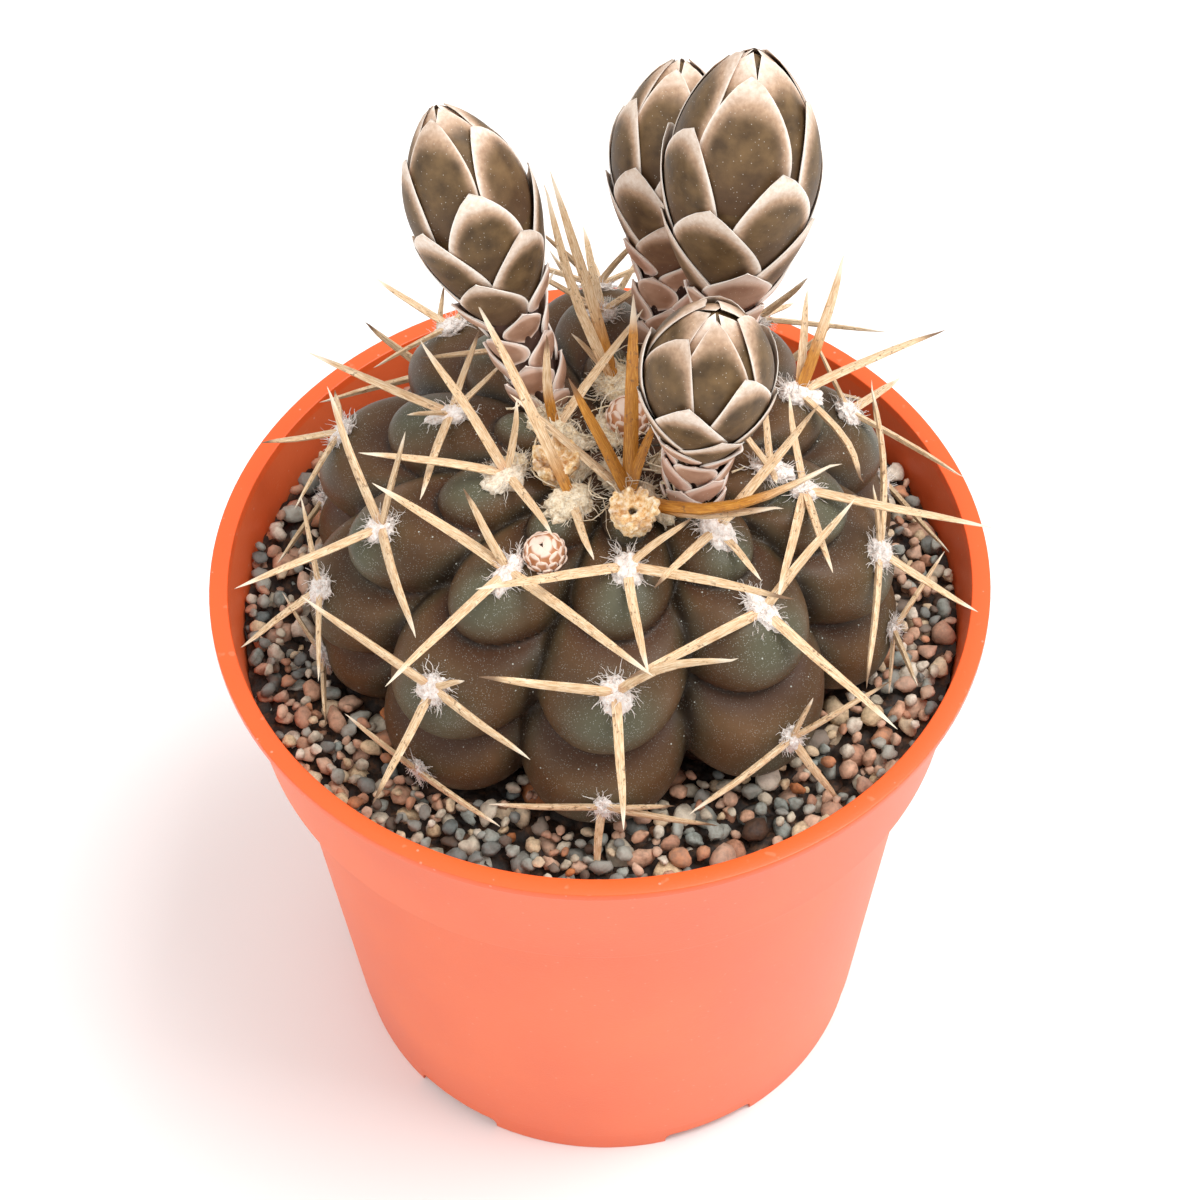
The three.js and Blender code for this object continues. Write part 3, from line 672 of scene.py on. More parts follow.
def model_stone(number):
    start_clean()
    bpy.ops.mesh.primitive_ico_sphere_add(subdivisions=2, radius=1)
    stone = bpy.context.object
    edit_all()
    rng = random.Random(number)
    for _ in range(3):
        squeeze = (rng.uniform(0.8, 1.1), rng.uniform(0.75, 1.05), rng.uniform(0.65, 0.9))
        bpy.ops.transform.resize(value=squeeze)
        for axis in "XZ":
            turn = rng.uniform(0, 3)
            bpy.ops.transform.rotate(value=turn, orient_axis=axis, center_override=(0, 0, 0))
    bpy.ops.object.mode_set(mode="OBJECT")
    dents = bpy.data.textures.new("dents", "CLOUDS")
    dents.noise_scale = 0.9 + 0.1 * number
    apply_modifier(stone, "DISPLACE", texture=dents, strength=1.1, mid_level=0.5)
    corners, faces = take_shape(stone)
    corners -= corners.mean(0)
    return corners / np.abs(corners).max(), faces


stone_shapes = [model_stone(number) for number in range(STONE_SHAPES)]
print(len(stone_shapes), "stones modelled, each with", len(stone_shapes[0][1]), "faces")

# %% [markdown]
# Laid out in rows, copies would look like tiles. So they are dropped one by one at random places
# round the cactus: each comes to rest on the bed or on the stones under it, and one that would end
# up too high is left out. That packs them as loosely as poured grit.

# %% The stones
DROPS, LARGE_DROPS, STONES_TOP = 5200, 150, GRIT_TOP + 2.9
PACKING, NESTLE = 0.8, 0.8  # how near two stones may lie, and how far one sinks between others
SUNK, SQUASH = 1.2, 0.85


def turn_matrix(rng):
    """A random rotation."""
    a, b, c = (rng.uniform(0, math.tau) for _ in range(3))
    spin = np.array([[math.cos(a), -math.sin(a), 0], [math.sin(a), math.cos(a), 0], [0, 0, 1]])
    tip = np.array([[1, 0, 0], [0, math.cos(b), -math.sin(b)], [0, math.sin(b), math.cos(b)]])
    last = np.array([[math.cos(c), 0, math.sin(c)], [0, 1, 0], [-math.sin(c), 0, math.cos(c)]])
    return spin @ tip @ last


around = np.arange(360.0)
near_grit = [skin(around, np.full(360, polar)) for polar in (100, 103, 106)]
edge_of_body = np.max([np.hypot(ring[:, 0], ring[:, 1]) for ring in near_grit], 0)
rng = random.Random(4)
placed, stones = [], []
for drop in range(DROPS):
    size = rng.uniform(1.8, 2.6) if drop < LARGE_DROPS else 0.75 + 1.4 * rng.random() ** 1.25
    azimuth = rng.uniform(0, 360)
    inner = edge_of_body[int(azimuth) % 360] + size * 0.3
    outer = inner_wall(GRIT_TOP + 1) - size * 0.95
    if inner >= outer:
        inner = outer - 0.5
    distance = math.sqrt(rng.uniform(inner**2, outer**2))
    x = distance * math.sin(math.radians(azimuth))
    y = -distance * math.cos(math.radians(azimuth))
    z = GRIT_TOP - SUNK + size * 0.45
    for px, py, pz, psize in placed:
        apart = math.hypot(px - x, py - y)
        touch = (size + psize) * PACKING
        if apart < touch:
            z = max(z, pz + math.sqrt(touch**2 - apart**2) * NESTLE)
    if z + size * 0.6 > STONES_TOP:
        continue
    placed.append((x, y, z, size))
    corners, faces = stone_shapes[rng.randrange(STONE_SHAPES)]
    spots = (corners * size) @ turn_matrix(rng).T
    spots[:, 2] *= SQUASH
    stones.append((spots + (x, y, z), faces, {"tone": rng.random(), "light": rng.random()}))
stones = gather(stones)
print("stones:", len(placed), "with", len(stones.data.polygons), "faces")

# %% [markdown]
# Most stones are dusty pink clay. Others are blue-grey, cream, tan or a wet-looking amber. Every
# stone carries a random tone, and a ramp with hard steps turns it into one of these kinds.

# %% The stones' finish
grit = Finish("worn_stones")
tone, light = grit.value_of("tone"), grit.value_of("light")
kinds = grit.ramp(
    tone, (0.0, "4a3120"), (0.03, "d2a283"), (0.22, "b98264"), (0.34, "8f968f"), (0.48, "c8bca6"),
    (0.6, "dfc39c"), (0.73, "686f6d"), (0.83, "bb6f38"), (0.91, "e3d6c3"), blend="CONSTANT",
)
speckle = grit.noise(900, 4, 0.65)
blotch = grit.noise(330, 3)
grime = grit.ramp(speckle, (0.3, (0.42, 0.38, 0.34, 1)), (0.6, (1, 1, 1, 1)))
darker = grit.mix(1.0, kinds, grime, blend="MULTIPLY")
rusty = grit.mix(blotch.above(0.6, 0.75) * 0.45, darker, "8a5a3c")
grit.feed("Base Color", grit.mix(light * 0.28, rusty, "e9d9c6"))
grit.feed("Roughness", 0.5 + speckle * 0.4)
grit.feed("Normal", grit.bump(grit.noise(1500, 3, 0.6), 0.00025, 0.7))
dress(stones, "grit_stones", grit, 180, ["grit_bed"])
print("stones dressed")

# %% [markdown]
# A spine is a hard, slightly flattened needle with ridges along it. One is modelled from a circle
# of ten corners: every other corner is pulled in for the ridges, the circle is pressed flat, and it
# is extruded and narrowed step by step up to its point. A tapered curve would be quicker to make,
# but it would show no ridges.

# %% One spine
SPINE_STEPS = [  # share of the length, share of the full width
    (0.05, 1.0), (0.16, 1.0), (0.34, 0.95), (0.52, 0.87), (0.67, 0.76), (0.79, 0.6),
    (0.88, 0.41), (0.94, 0.24), (0.98, 0.11), (1.0, 0.015),
]
SPINE_ROOT, ROOT_SHARE = -0.06, 0.85  # the sunk end, and how full it is
GROOVE, FLATNESS = 0.84, 0.62

start_clean()
bpy.ops.mesh.primitive_circle_add(
    vertices=10, radius=1, fill_type="NGON", location=(0, 0, SPINE_ROOT)
)
needle = bpy.context.object
bpy.ops.object.mode_set(mode="EDIT")
bpy.ops.mesh.select_all(action="DESELECT")
bpy.ops.object.mode_set(mode="OBJECT")
for vertex in needle.data.vertices:
    vertex.select = vertex.index % 2 == 1
bpy.ops.object.mode_set(mode="EDIT")
press(GROOVE, GROOVE, SPINE_ROOT)
bpy.ops.mesh.select_all(action="SELECT")
press(1, FLATNESS, SPINE_ROOT)
press(ROOT_SHARE, ROOT_SHARE, SPINE_ROOT)
reached, width = SPINE_ROOT, ROOT_SHARE
for along, share in SPINE_STEPS:
    extrude_up(along - reached, share / width, along)
    reached, width = along, share
bpy.ops.object.mode_set(mode="OBJECT")
make_tidy()
spine_corners, spine_faces = take_shape(needle)
print("one spine:", len(spine_faces), "faces")

# %% [markdown]
# Each cushion has its own set of spines. Those that the front shows are set one by one: the turn on
# the skin from the crown, the lift off the skin, the length in millimetres and a sideways bend. The
# cushions turned away from it follow the plant's usual set.

# %% The sets of spines
SPINES = {
    "a1": [[-75, 10, 14], [75, 10, 9], [95, 10, 14], [-175, 24, 11]],
    "a2": [[-80, 20, 17], [65, 30, 17, 1.5], [175, 20, 16]],
    "a3": [[170, 20, 16], [-110, 25, 20], [110, 25, 22], [60, 30, 10]],
    "a4": [
        [4, 40, 24], [-40, 50, 16], [30, 45, 10], [114, 18, 20, -2.5], [103, 24, 27, -4.5],
        [-50, 20, 19],
    ],
    "j1": [[-75, 15, 20], [60, 20, 14], [10, 15, 9], [160, 22, 13]],
    "j2": [[65, 25, 17], [165, 20, 21], [-85, 4, 20]],
    "j3": [[78, 30, 19], [-102, 15, 13], [-175, 15, 9]],
    "i1": [[-65, 25, 14], [-130, 10, 8], [80, 15, 13]],
    "i2": [[40, 10, 21, -2], [25, 15, 9], [180, 30, 15], [-100, 5, 19]],
    "i3": [[180, 25, 23], [-105, 20, 15], [-87, 5, 18], [60, 14, 12]],
    "i4": [[-90, 40, 8], [60, 35, 9], [10, 40, 10]],
    "k1": [[-90, 15, 14], [90, 15, 14]],
    "k2": [[-95, 25, 19, 2], [60, 15, 10], [150, 20, 14]],
    "k3": [[175, 25, 22], [-80, 10, 19, 2], [120, 50, 18], [112, 30, 14]],
    "f3": [[-110, 22, 16], [178, 22, 15], [25, 32, 11], [110, 30, 13]],
    "f4": [[163, 50, 27], [158, 52, 26, 1], [140, 30, 8]],
    "e2": [[170, 40, 14], [75, 5, 14], [-90, 20, 14]],
    "e3": [[175, 45, 16], [105, 20, 12], [-105, 25, 12]],
    "d1": [[-90, 10, 12], [90, 10, 12]],
    "d2": [[175, 30, 12], [-120, 10, 10], [95, 5, 13]],
    "d3": [[180, 35, 19], [80, 10, 17], [-75, 30, 11], [-45, 20, 9], [110, 45, 8]],
    "d4": [[-65, 30, 18], [-120, 62, 12, 1]],
    "c1": [[-80, 12, 11], [85, 12, 11]],
    "c2": [[-40, 15, 12], [-175, 30, 14], [100, 15, 13]],
    "c3": [[-75, 35, 18], [175, 25, 19], [80, 20, 25], [-10, 40, 15]],
    "c4": [[-165, 25, 18], [-110, 45, 19], [80, 15, 14], [-55, 40, 9]],
    "b1": [[-20, 10, 16], [60, 10, 20]],
    "b2": [[-70, 25, 19], [85, 15, 17], [180, 20, 16], [45, 15, 6]],
    "b3": [[-95, 30, 19], [-60, 50, 12], [180, 25, 22], [95, 20, 27]],
    "b4": [[-70, 45, 26], [130, 15, 12]],
}
USUAL_SPINES = [[-95, 22, 17], [90, 20, 18], [178, 22, 15], [-35, 32, 13], [38, 28, 14]]
LOW_SPINES = [[-88, 16, 15], [86, 14, 16], [-32, 28, 12], [35, 24, 13]]
LOW_POLAR = 80  # below this angle, near the grit, no spine points down
BUDDED = ["j4", "k4", "g3"]  # these cushions have given their place to a bud
AMBER = {  # (cushion, number of the spine): how far up the spine the amber of youth goes
    ("a4", 0): 1.0, ("a4", 1): 1.0, ("a4", 2): 1.0, ("a4", 3): 0.5, ("a4", 4): 0.8, ("f4", 0): 0.4,
    ("f4", 1): 0.2, ("b4", 0): 0.3, ("k3", 2): 0.5, ("k3", 3): 0.3, ("d4", 1): 0.5,
}
areoles = {}
for rib, (name, row) in enumerate(RIBS.items()):
    for place, polar in enumerate(row):
        key = name + str(place + 1)
        if key in BUDDED:
            continue
        azimuth = rib * RIB_STEP + swirl_at(polar)
        usual = LOW_SPINES if polar > LOW_POLAR else USUAL_SPINES
        areoles[key] = (azimuth, polar, SPINES.get(key, usual))
print(len(areoles), "cushions,", sum(len(spines) for _, _, spines in areoles.values()), "spines")

# %% [markdown]
# Whatever grows from the skin is placed by three directions: up towards the crown, across, and out.
# A copy of the spine is stretched to its length, laid in its direction and bowed a little, with a
# seeded random droop and wobble, because no two real spines are quite straight.

# %% The spines
SPINE_WIDTH, SPINE_ABOVE, FULL_LENGTH = 1.3, 0.45, 15


def skin_axes(azimuth, polar):
    """Up towards the crown, across towards +azimuth, and out, on the plain outline."""
    nudge = 0.3
    up = unit(skin(azimuth, polar - nudge, 0, False) - skin(azimuth, polar + nudge, 0, False))
    across = skin(azimuth + nudge, polar, 0, False) - skin(azimuth - nudge, polar, 0, False)
    across = unit(across - up * across.dot(up))
    return up, across, unit(np.cross(across, up))


def set_spine(seat, axes, turn, lift, length, bend, stout, rng):
    """A copy of the spine from a cushion's seat, in millimetres."""
    up, across, out = axes
    turn, lift = math.radians(turn), math.radians(lift)
    flat = up * math.cos(turn) + across * math.sin(turn)
    direction = flat * math.cos(lift) + out * math.sin(lift)
    side = unit(np.cross(out, direction))
    face = unit(np.cross(direction, side))
    width = stout * SPINE_WIDTH / 2 * (0.62 + 0.38 * min(length / FULL_LENGTH, 1.3))
    along = spine_corners[:, 2]
    sway = (bend + rng.uniform(-0.35, 0.35)) * np.sin(np.pi * np.clip(along, 0, 1))
    droop = -rng.uniform(0.01, 0.035) * length * np.clip(along, 0, 1) ** 2
    wobble = 0.07 * np.sin(along * 9 + rng.uniform(0, 6)) * np.clip(along, 0, 1)
    spots = (
        seat + out * SPINE_ABOVE
        + direction * (along * length)[:, None]
        + side * (spine_corners[:, 0] * width + sway + wobble)[:, None]
        + face * (spine_corners[:, 1] * width + droop)[:, None]
    )
    marks = {
        "along": np.clip(along, 0, 1),
        "run": along * length,
        "round": np.arctan2(spine_corners[:, 1], spine_corners[:, 0]) / math.tau,
        "seed": rng.random(),
        "blush": rng.random(),
    }
    return spots, marks


spines = []
for key, (azimuth, polar, wanted) in areoles.items():
    rng = random.Random(key)
    seat, axes = skin(azimuth, polar), skin_axes(azimuth, polar)
    for number, (turn, lift, length, *bend) in enumerate(wanted):
        bow = bend[0] if bend else 0
        amber = AMBER.get((key, number), 0.0)
        spots, marks = set_spine(seat, axes, turn, lift, length, bow, 1 + 0.4 * amber, rng)
        spines.append((spots, spine_faces, {**marks, "amber": amber}))
spines = gather(spines)
print("spines:", len(spines.data.polygons), "faces")

# %% [markdown]
# The spines are straw-coloured and hard, with a faint gloss. Brown dashes run along their ridges,
# many have a reddish foot and a pale sharp point, and the young ones at the crown are clear amber.
# The dashes are noise, read on coordinates that run along each spine, so they stretch with it.

# %% The spines' finish
straw = Finish("straw_spines", gloss=0.4)
along, run, around_it = (straw.value_of(name) for name in ("along", "run", "round"))
seed, blush, amber = (straw.value_of(name) for name in ("seed", "blush", "amber"))


def on_spine(run_scale, round_scale):
    sockets = {0: run * run_scale, 1: around_it * round_scale, 2: seed * 37}
    return straw.node("ShaderNodeCombineXYZ", {}, sockets)


dashes = straw.noise(1, 3, 0.6, on_spine(1.7, 7)).above(0.56, 0.66)
dashes = dashes * straw.noise(1, 1, 0.5, on_spine(0.25, 1)).above(0.35, 0.6)
grain = straw.noise(1, 4, 0.6, on_spine(0.7, 26))
old = straw.ramp(grain, (0.3, "b48a60"), (0.48, "dab78d"), (0.68, "f0dcbd"))
young = straw.ramp(grain, (0.3, "9c5f1c"), (0.52, "b87826"), (0.72, "d39a46"))
colour = straw.mix((amber * 1.15 - along).above(0.0, 0.3), old, young)
colour = straw.mix(dashes * 0.75, colour, "6e4a2e")
foot = (1 - along.above(0.0, 0.13)) * blush.above(0.35, 0.75)
colour = straw.mix(foot * 0.55, colour, "c07c5c")
point = along.above(0.84, 0.97)
colour = straw.mix(point * seed.above(0.3, 0.35) * 0.75, colour, "f6e8d2")
colour = straw.mix(point * (1 - seed.above(0.25, 0.3)) * 0.8, colour, "5d3a22")
straw.feed("Base Color", colour)
straw.feed("Roughness", 0.42 + grain * 0.25 - amber * 0.12)
straw.feed("Normal", straw.bump(grain, 0.00018, 0.6))
dress(spines, "spines", straw, 50, ["areole_" + key for key in areoles])
print("spines dressed")

# %% [markdown]
# Each spine set grows from a cushion of felt: short matted hairs, white on the sides of the plant
# and cream at the crown. A lumpy pad alone looks like plaster, so about a hundred thin curled hairs
# stand and hang around it. The pad is a ball with fine lumps, and a hair a three-sided needle.

# %% One felt pad and one hair
start_clean()
bpy.ops.mesh.primitive_ico_sphere_add(subdivisions=4, radius=1)
pad = bpy.context.object
lumps = bpy.data.textures.new("felt_lumps", "CLOUDS")
lumps.noise_scale, lumps.noise_depth = 0.42, 4
apply_modifier(pad, "DISPLACE", texture=lumps, strength=0.75, mid_level=0.62)
pad_corners, pad_faces = take_shape(pad)

start_clean()
bpy.ops.mesh.primitive_circle_add(vertices=3, radius=1, fill_type="NGON", location=(0, 0, 0))
hair = bpy.context.object
edit_all()
for step in range(1, 6):
    extrude_up(0.2, 0.8, 0.2 * step)
bpy.ops.object.mode_set(mode="OBJECT")
make_tidy()
hair_corners, hair_faces = take_shape(hair)
print("felt pad:", len(pad_faces), "faces, hair:", len(hair_faces), "faces")

# %% [markdown]
# Pad and hair are copied with turns of their own. A hair on the cushion's middle stands up, one at
# its margin lies outwards, and all of them hang a little. The cushions at the crown are larger.

# %% The felt cushions
PAD_HALF = (1.9, 2.75, 1.25)  # across, along and out, on a cushion of size 1
HAIRS, CREAM_ABOVE = 110, 32  # nearer the crown than this polar angle the felt is cream


def curl_hair(root, direction, length, curl, width, rng):
    """A copy of the hair, curled to one side, in millimetres."""
    side = unit(np.cross(direction, [rng.gauss(0, 1) for _ in range(3)]))
    other = np.cross(direction, side)
    along = hair_corners[:, 2]
    bow = curl * length * along**2
    twist = 0.18 * length * np.sin(along * rng.uniform(2, 6))
    return (
        root + direction * (along * length * (1 - 0.3 * abs(curl)))[:, None]
        + side * (hair_corners[:, 0] * width + bow)[:, None]
        + other * (hair_corners[:, 1] * width + twist)[:, None]
    )


def felt_cushion(seat, axes, size, cream, hairs, rng):
    """The pad and the hairs of one cushion, as copies for one gathered mesh."""
    up, across, out = axes
    turn = rng.uniform(-0.3, 0.3)
    long_way = up * math.cos(turn) + across * math.sin(turn)
    wide_way = np.cross(out, long_way)
    half = np.array(PAD_HALF) * size * [rng.uniform(0.8, 1.2) for _ in range(3)]
    spin = pad_corners @ turn_matrix(rng).T
    spots = (
        seat + wide_way * (spin[:, :1] * half[0]) + long_way * (spin[:, 1:2] * half[1] - 0.5)
        + out * (spin[:, 2:] * half[2] + 0.1)
    )
    marks = {"cream": cream, "lit": rng.random()}  # the fine hairs catch more light than the pad
    copies = [(spots, pad_faces, marks)]
    for _ in range(hairs):
        place = rng.uniform(0, math.tau)
        reach = math.sqrt(rng.random())
        root = (
            seat + wide_way * (math.cos(place) * reach * half[0] * 0.9)
            + long_way * (math.sin(place) * reach * half[1] * 0.9)
            + out * (half[2] * 0.55 * (1 - reach**2))
        )
        away = wide_way * math.cos(place) + long_way * math.sin(place)
        stray = np.array([rng.gauss(0, 0.35) for _ in range(3)])
        direction = unit(out * (1.1 - reach) + away * (reach * 1.5) - up * 0.35 + stray)
        length = rng.uniform(0.8, 2.3) * size
        curl, width = rng.uniform(-0.5, 0.5), rng.uniform(0.05, 0.12)
        spots = curl_hair(root, direction, length, curl, width, rng)
        copies.append((spots, hair_faces, {"cream": cream, "lit": rng.uniform(0.6, 2.4)}))
    return copies


felt = []
for key, (azimuth, polar, _) in areoles.items():
    rng = random.Random(key + " felt")
    crown = max(0.0, min(1.0, (CREAM_ABOVE - polar) / 10 + 0.5))
    size = 1.05 + 0.2 * crown if polar < 85 else 0.85
    felt += felt_cushion(skin(azimuth, polar), skin_axes(azimuth, polar), size, crown, HAIRS, rng)
felt = gather(felt)
print("felt:", len(felt.data.polygons), "faces")

# %% [markdown]
# Felt is matt and nearly white. One fine noise darkens it in places, partly its own pinkish tan and
# partly painted shade as between its hairs, in a white and in a cream version, and each hair gets a
# painted highlight of its own amount.

# %% The felt's finish
wool = Finish("areole_felt", gloss=0.15)
wool.feed("Roughness", 0.95)
cream, lit = wool.value_of("cream"), wool.value_of("lit")
matted_and_shade = wool.noise(2200, 4, 0.7)
# the darker end of these ramps is partly the felt's own tan, partly painted shade
white = wool.ramp(matted_and_shade, (0.3, "cfae9c"), (0.44, "f2e2d8"), (0.62, "fffaf6"))
buff = wool.ramp(matted_and_shade, (0.3, "b98f5c"), (0.46, "ecd5ad"), (0.64, "fff3d9"))
tinted = wool.mix(cream, white, buff)
# painted highlight: each pad and hair is lightened by its own lit value, the hairs more
wool.feed("Base Color", wool.mix(lit * 0.3, tinted, "fdf6ee"))
wool.feed("Normal", wool.bump(matted_and_shade, 0.0004, 0.9))
dress(felt, "areole_felt", wool, 180)
print("felt dressed")

# %% [markdown]
# A bud is a short tube under an egg-shaped head, wrapped in fleshy scales. The scales sit on a
# spiral: each is turned 137.5 degrees on from the one below it, which spreads them evenly on any
# bud. They grow from stubby bracts on the tube to broad plates on the head, and the lower ones
# overlap the upper ones, as on an artichoke.

# %% The buds' plan
BUDS = {  # the foot's place from above, the way from foot to tip, the head's radius, the first turn
    "bud_left": ((-6.7, 7.7), (-12, 7, 45.6), 7.8, 332),
    "bud_back": ((11.3, 20.9), (2.6, 9.7, 41.3), 8, 334),
    "bud_right": ((17.6, 7.7), (4, 5.5, 55), 9.3, 124),
    "bud_front": ((13.1, -10.3), (2.4, -2.2, 36), 7.9, 215),
}
TUBE_FOOT, TUBE_TOP = 3.0, 3.6  # the tube's radius at its foot and under the head
NECK_AT, WIDEST_AT = 0.3, 0.68  # shares of the bud's length
FIRST_SCALE, LAST_SCALE, FULL_AT, GOLDEN_TURN = -10, 27, 23, 137.5
HEAD_FROM, TUBE_STEP = 5, 0.024  # lower numbers are the tube's scales, one close above another


def smoothstep(x, low, high):
    share = np.clip((x - low) / (high - low), 0, 1)
    return share * share * (3 - 2 * share)


def foot_on_skin(x, y):
    """A root a little under the skin, below a place seen from above."""
    dx, dy = x - MIDDLE[0] - LEAN[0], y - MIDDLE[1] - LEAN[1]
    azimuth = math.degrees(math.atan2(dx, -dy))
    polar = math.degrees(math.atan2(math.hypot(dx, dy), RISE_ABOVE - CROWN_DIP))
    return skin(azimuth, polar, -3, False)


def bud_axis(start, reach, share):
    """The bud's gently bent axis, from its root at 0 to its tip at 1."""
    bend, share = reach * [0.5, 0.3, 0.5], np.asarray(share)[..., None]
    return start + 2 * share * (1 - share) * bend + share**2 * reach


def bud_radius(share, head):
    """A slim tube that swells into an egg-shaped head."""
    share = np.asarray(share)
    swell = np.sin(math.pi / 2 * np.clip((share - NECK_AT) / (WIDEST_AT - NECK_AT), 0, 1)) ** 1.2
    dome = np.cos(math.pi / 2 * np.clip((share - WIDEST_AT) / (1 - WIDEST_AT), 0, 1)) ** 0.66
    tube = TUBE_FOOT + (TUBE_TOP - TUBE_FOOT) * np.clip(share / NECK_AT, 0, 1)
    return np.where(share < WIDEST_AT, tube + (head - tube) * swell, head * dome)


def bud_points(start, reach, head, share, turn, out):
    """Points that stand `out` millimetres off the bud's plain outline."""
    nudge = 0.01
    further = bud_axis(start, reach, np.minimum(share + nudge, 1))
    ahead = further - bud_axis(start, reach, np.maximum(share - nudge, 0))
    ahead /= np.linalg.norm(ahead, axis=-1, keepdims=True)
    right = np.array([1.0, 0, 0]) - ahead * ahead[..., :1]
    right /= np.linalg.norm(right, axis=-1, keepdims=True)
    back = np.cross(ahead, right)
    widening = bud_radius(share + nudge, head) - bud_radius(share - nudge, head)
    slope = np.clip(widening / (2 * nudge * np.linalg.norm(reach)), -2.5, 2.5)
    tilt = slope[..., None] / np.sqrt(1 + slope**2)[..., None]
    spoke = np.sin(turn)[..., None] * right - np.cos(turn)[..., None] * back
    normal = spoke * np.sqrt(1 - tilt**2) - ahead * tilt
    surface = bud_axis(start, reach, share) + spoke * bud_radius(share, head)[..., None]
    return surface + normal * out[..., None]


def tip_of(number):
    """How far up the bud a scale's tip reaches. The innermost ones all close over the end."""
    if number < HEAD_FROM:
        return tip_of(HEAD_FROM) - (HEAD_FROM - number) * TUBE_STEP
    tip = 0.18 + 0.82 * min(number / FULL_AT, 1) ** 0.72
    closing = smoothstep(tip, 0.84, 0.94) * 0.6
    return min(1 - (1 - tip) * (1 - closing), 0.992 + 0.0025 * (number - FULL_AT))


print(len(BUDS), "buds of", LAST_SCALE - FIRST_SCALE + 1, "scales")

# %% [markdown]
# One scale is a small plate: a grid, given thickness by Solidify, so that its edge can catch the
# light. The same plate bends to every place on the bud. Its outline is a broad ogive with a small
# point; on the tube its lower corners hang free as round ears.

# %% One scale
SCALE_COLUMNS, SCALE_ROWS = 16, 14
start_clean()
bpy.ops.mesh.primitive_grid_add(
    x_subdivisions=SCALE_COLUMNS, y_subdivisions=SCALE_ROWS, size=2
)
plate = bpy.context.object
apply_modifier(plate, "SOLIDIFY", thickness=0.2, offset=0)
plate_corners, plate_faces = take_shape(plate)
plate_u = np.clip(plate_corners[:, 0], -1, 1)  # from one side of the scale to the other
plate_v = np.clip((plate_corners[:, 1] + 1) / 2, 0, 1)  # from its foot to its tip
plate_side = np.sign(plate_corners[:, 2])  # its inner or outer face
print("one scale:", len(plate_faces), "faces")

# %% [markdown]
# A copy is bent in four steps: its outline, its place up and round the bud, how far each corner
# stands off the head, and its thickness. `growth` blends a bract of the tube (0) into a plate of
# the head (1). `inner` is 1 on the last plates, which lie close together over the tip.

# %% A scale on its bud
LOOSE, SUNK_FOOT, BELLY = 1.1, -0.35, 0.3  # how far a plate's tip, foot and middle stand off
PLATE_THICK, BRACT_THICKER = 0.32, 0.3


def bend_scale(bud, tip, turn, width, length, growth, sink, rng):
    start, reach, head = bud
    inner = smoothstep(tip, 0.76, 0.97)
    u, v = plate_u, plate_v
    head_half = np.clip(1 - v, 0, 1) ** 0.72 * (0.66 + 2.3 * v - 1.3 * v**2)
    foot = 0.2 + 0.8 * np.sqrt(1 - (1 - np.clip(v / 0.24, 0, 1)) ** 2)
    swell = 0.86 + 0.36 * np.sin(np.pi * np.clip(v * 1.2, 0, 1))
    bract_half = foot * np.clip(1 - v**2.2, 0, 1) ** 0.8 * swell
    half = (bract_half + (head_half - bract_half) * growth) * width / 2

    ears = (1 - growth) * 0.14 * np.abs(u) ** 2.4 * (1 - v)
    skew = rng.uniform(-0.06, 0.06)
    rise = v - ears + skew * u * (1 - v) * 0.6
    share = np.clip(tip - (1 - rise) * length / np.linalg.norm(reach), 0.0, 0.9985)
    local = np.maximum(bud_radius(share, head), 0.3)
    angle = turn + u * half / local + rng.uniform(-0.03, 0.03)

    belly = (1 - u**2) * np.sin(np.pi * np.clip(v, 0, 1) ** 0.8)
    stand = SUNK_FOOT - sink + (LOOSE - 0.75 * inner) * v**1.3
    stand += (BELLY + 0.35 * (1 - growth) - 0.15 * inner) * belly
    stand += (1 - growth) * (0.2 * v**3 + 0.12 * np.abs(u) ** 2 + 0.3 * (1 - v) ** 2)
    stand += 0.16 * np.abs(u) ** 3 * smoothstep(v, 0.1, 0.5)

    thick = PLATE_THICK + BRACT_THICKER * (1 - growth)
    thick = thick * (1 - 0.55 * np.abs(u) ** 3) * (1 - 0.8 * v**4)
    out = np.maximum(stand + plate_side * thick / 2, -0.6 * bud_radius(share, head))
    spots = bud_points(start, reach, head, share, angle, out)
    inside = (1 - np.abs(u) ** 2.6) * (1 - smoothstep(v, 0.54, 1.02))
    marks = {
        "across": np.abs(u), "along": v, "growth": growth, "seed": rng.random(),
        "edge": (1 - inside) * (1 - 0.25 * inner), "inner": inner,
    }
    return spots, marks


print("plates are", PLATE_THICK, "mm thick, bracts", PLATE_THICK + BRACT_THICKER, "mm")

# %% [markdown]
# Under the scales each bud has a fleshy core, which shows between the bracts of the tube. It is
# raised ring by ring from a filled circle, as the pot was, and then follows the bud's own axis.

# %% The core of a bud
CORE_RINGS = 40
start_clean()
bpy.ops.mesh.primitive_circle_add(vertices=48, radius=1, fill_type="TRIFAN", location=(0, 0, 0))
core = bpy.context.object
edit_all()
bpy.ops.mesh.region_to_loop()
for ring in range(CORE_RINGS):
    extrude_up(1 / CORE_RINGS)
bpy.ops.mesh.edge_face_add()
bpy.ops.mesh.poke()
bpy.ops.object.mode_set(mode="OBJECT")
make_tidy()
core_corners, core_faces = take_shape(core)
core_turn = np.arctan2(core_corners[:, 0], -core_corners[:, 1])
core_reach = np.minimum(np.hypot(core_corners[:, 0], core_corners[:, 1]), 1)
core_share = np.clip(core_corners[:, 2], 0, 0.985)
core_inset = -0.35 - 0.6 * smoothstep(core_share, 0.8, 0.97)  # deeper under the tip
print("core:", len(core_faces), "faces")

# %% [markdown]
# Each bud is its core and thirty-eight scales, numbered upwards. The number gives a scale its turn,
# its height and its size, and the last few are sunk one under another where they meet.

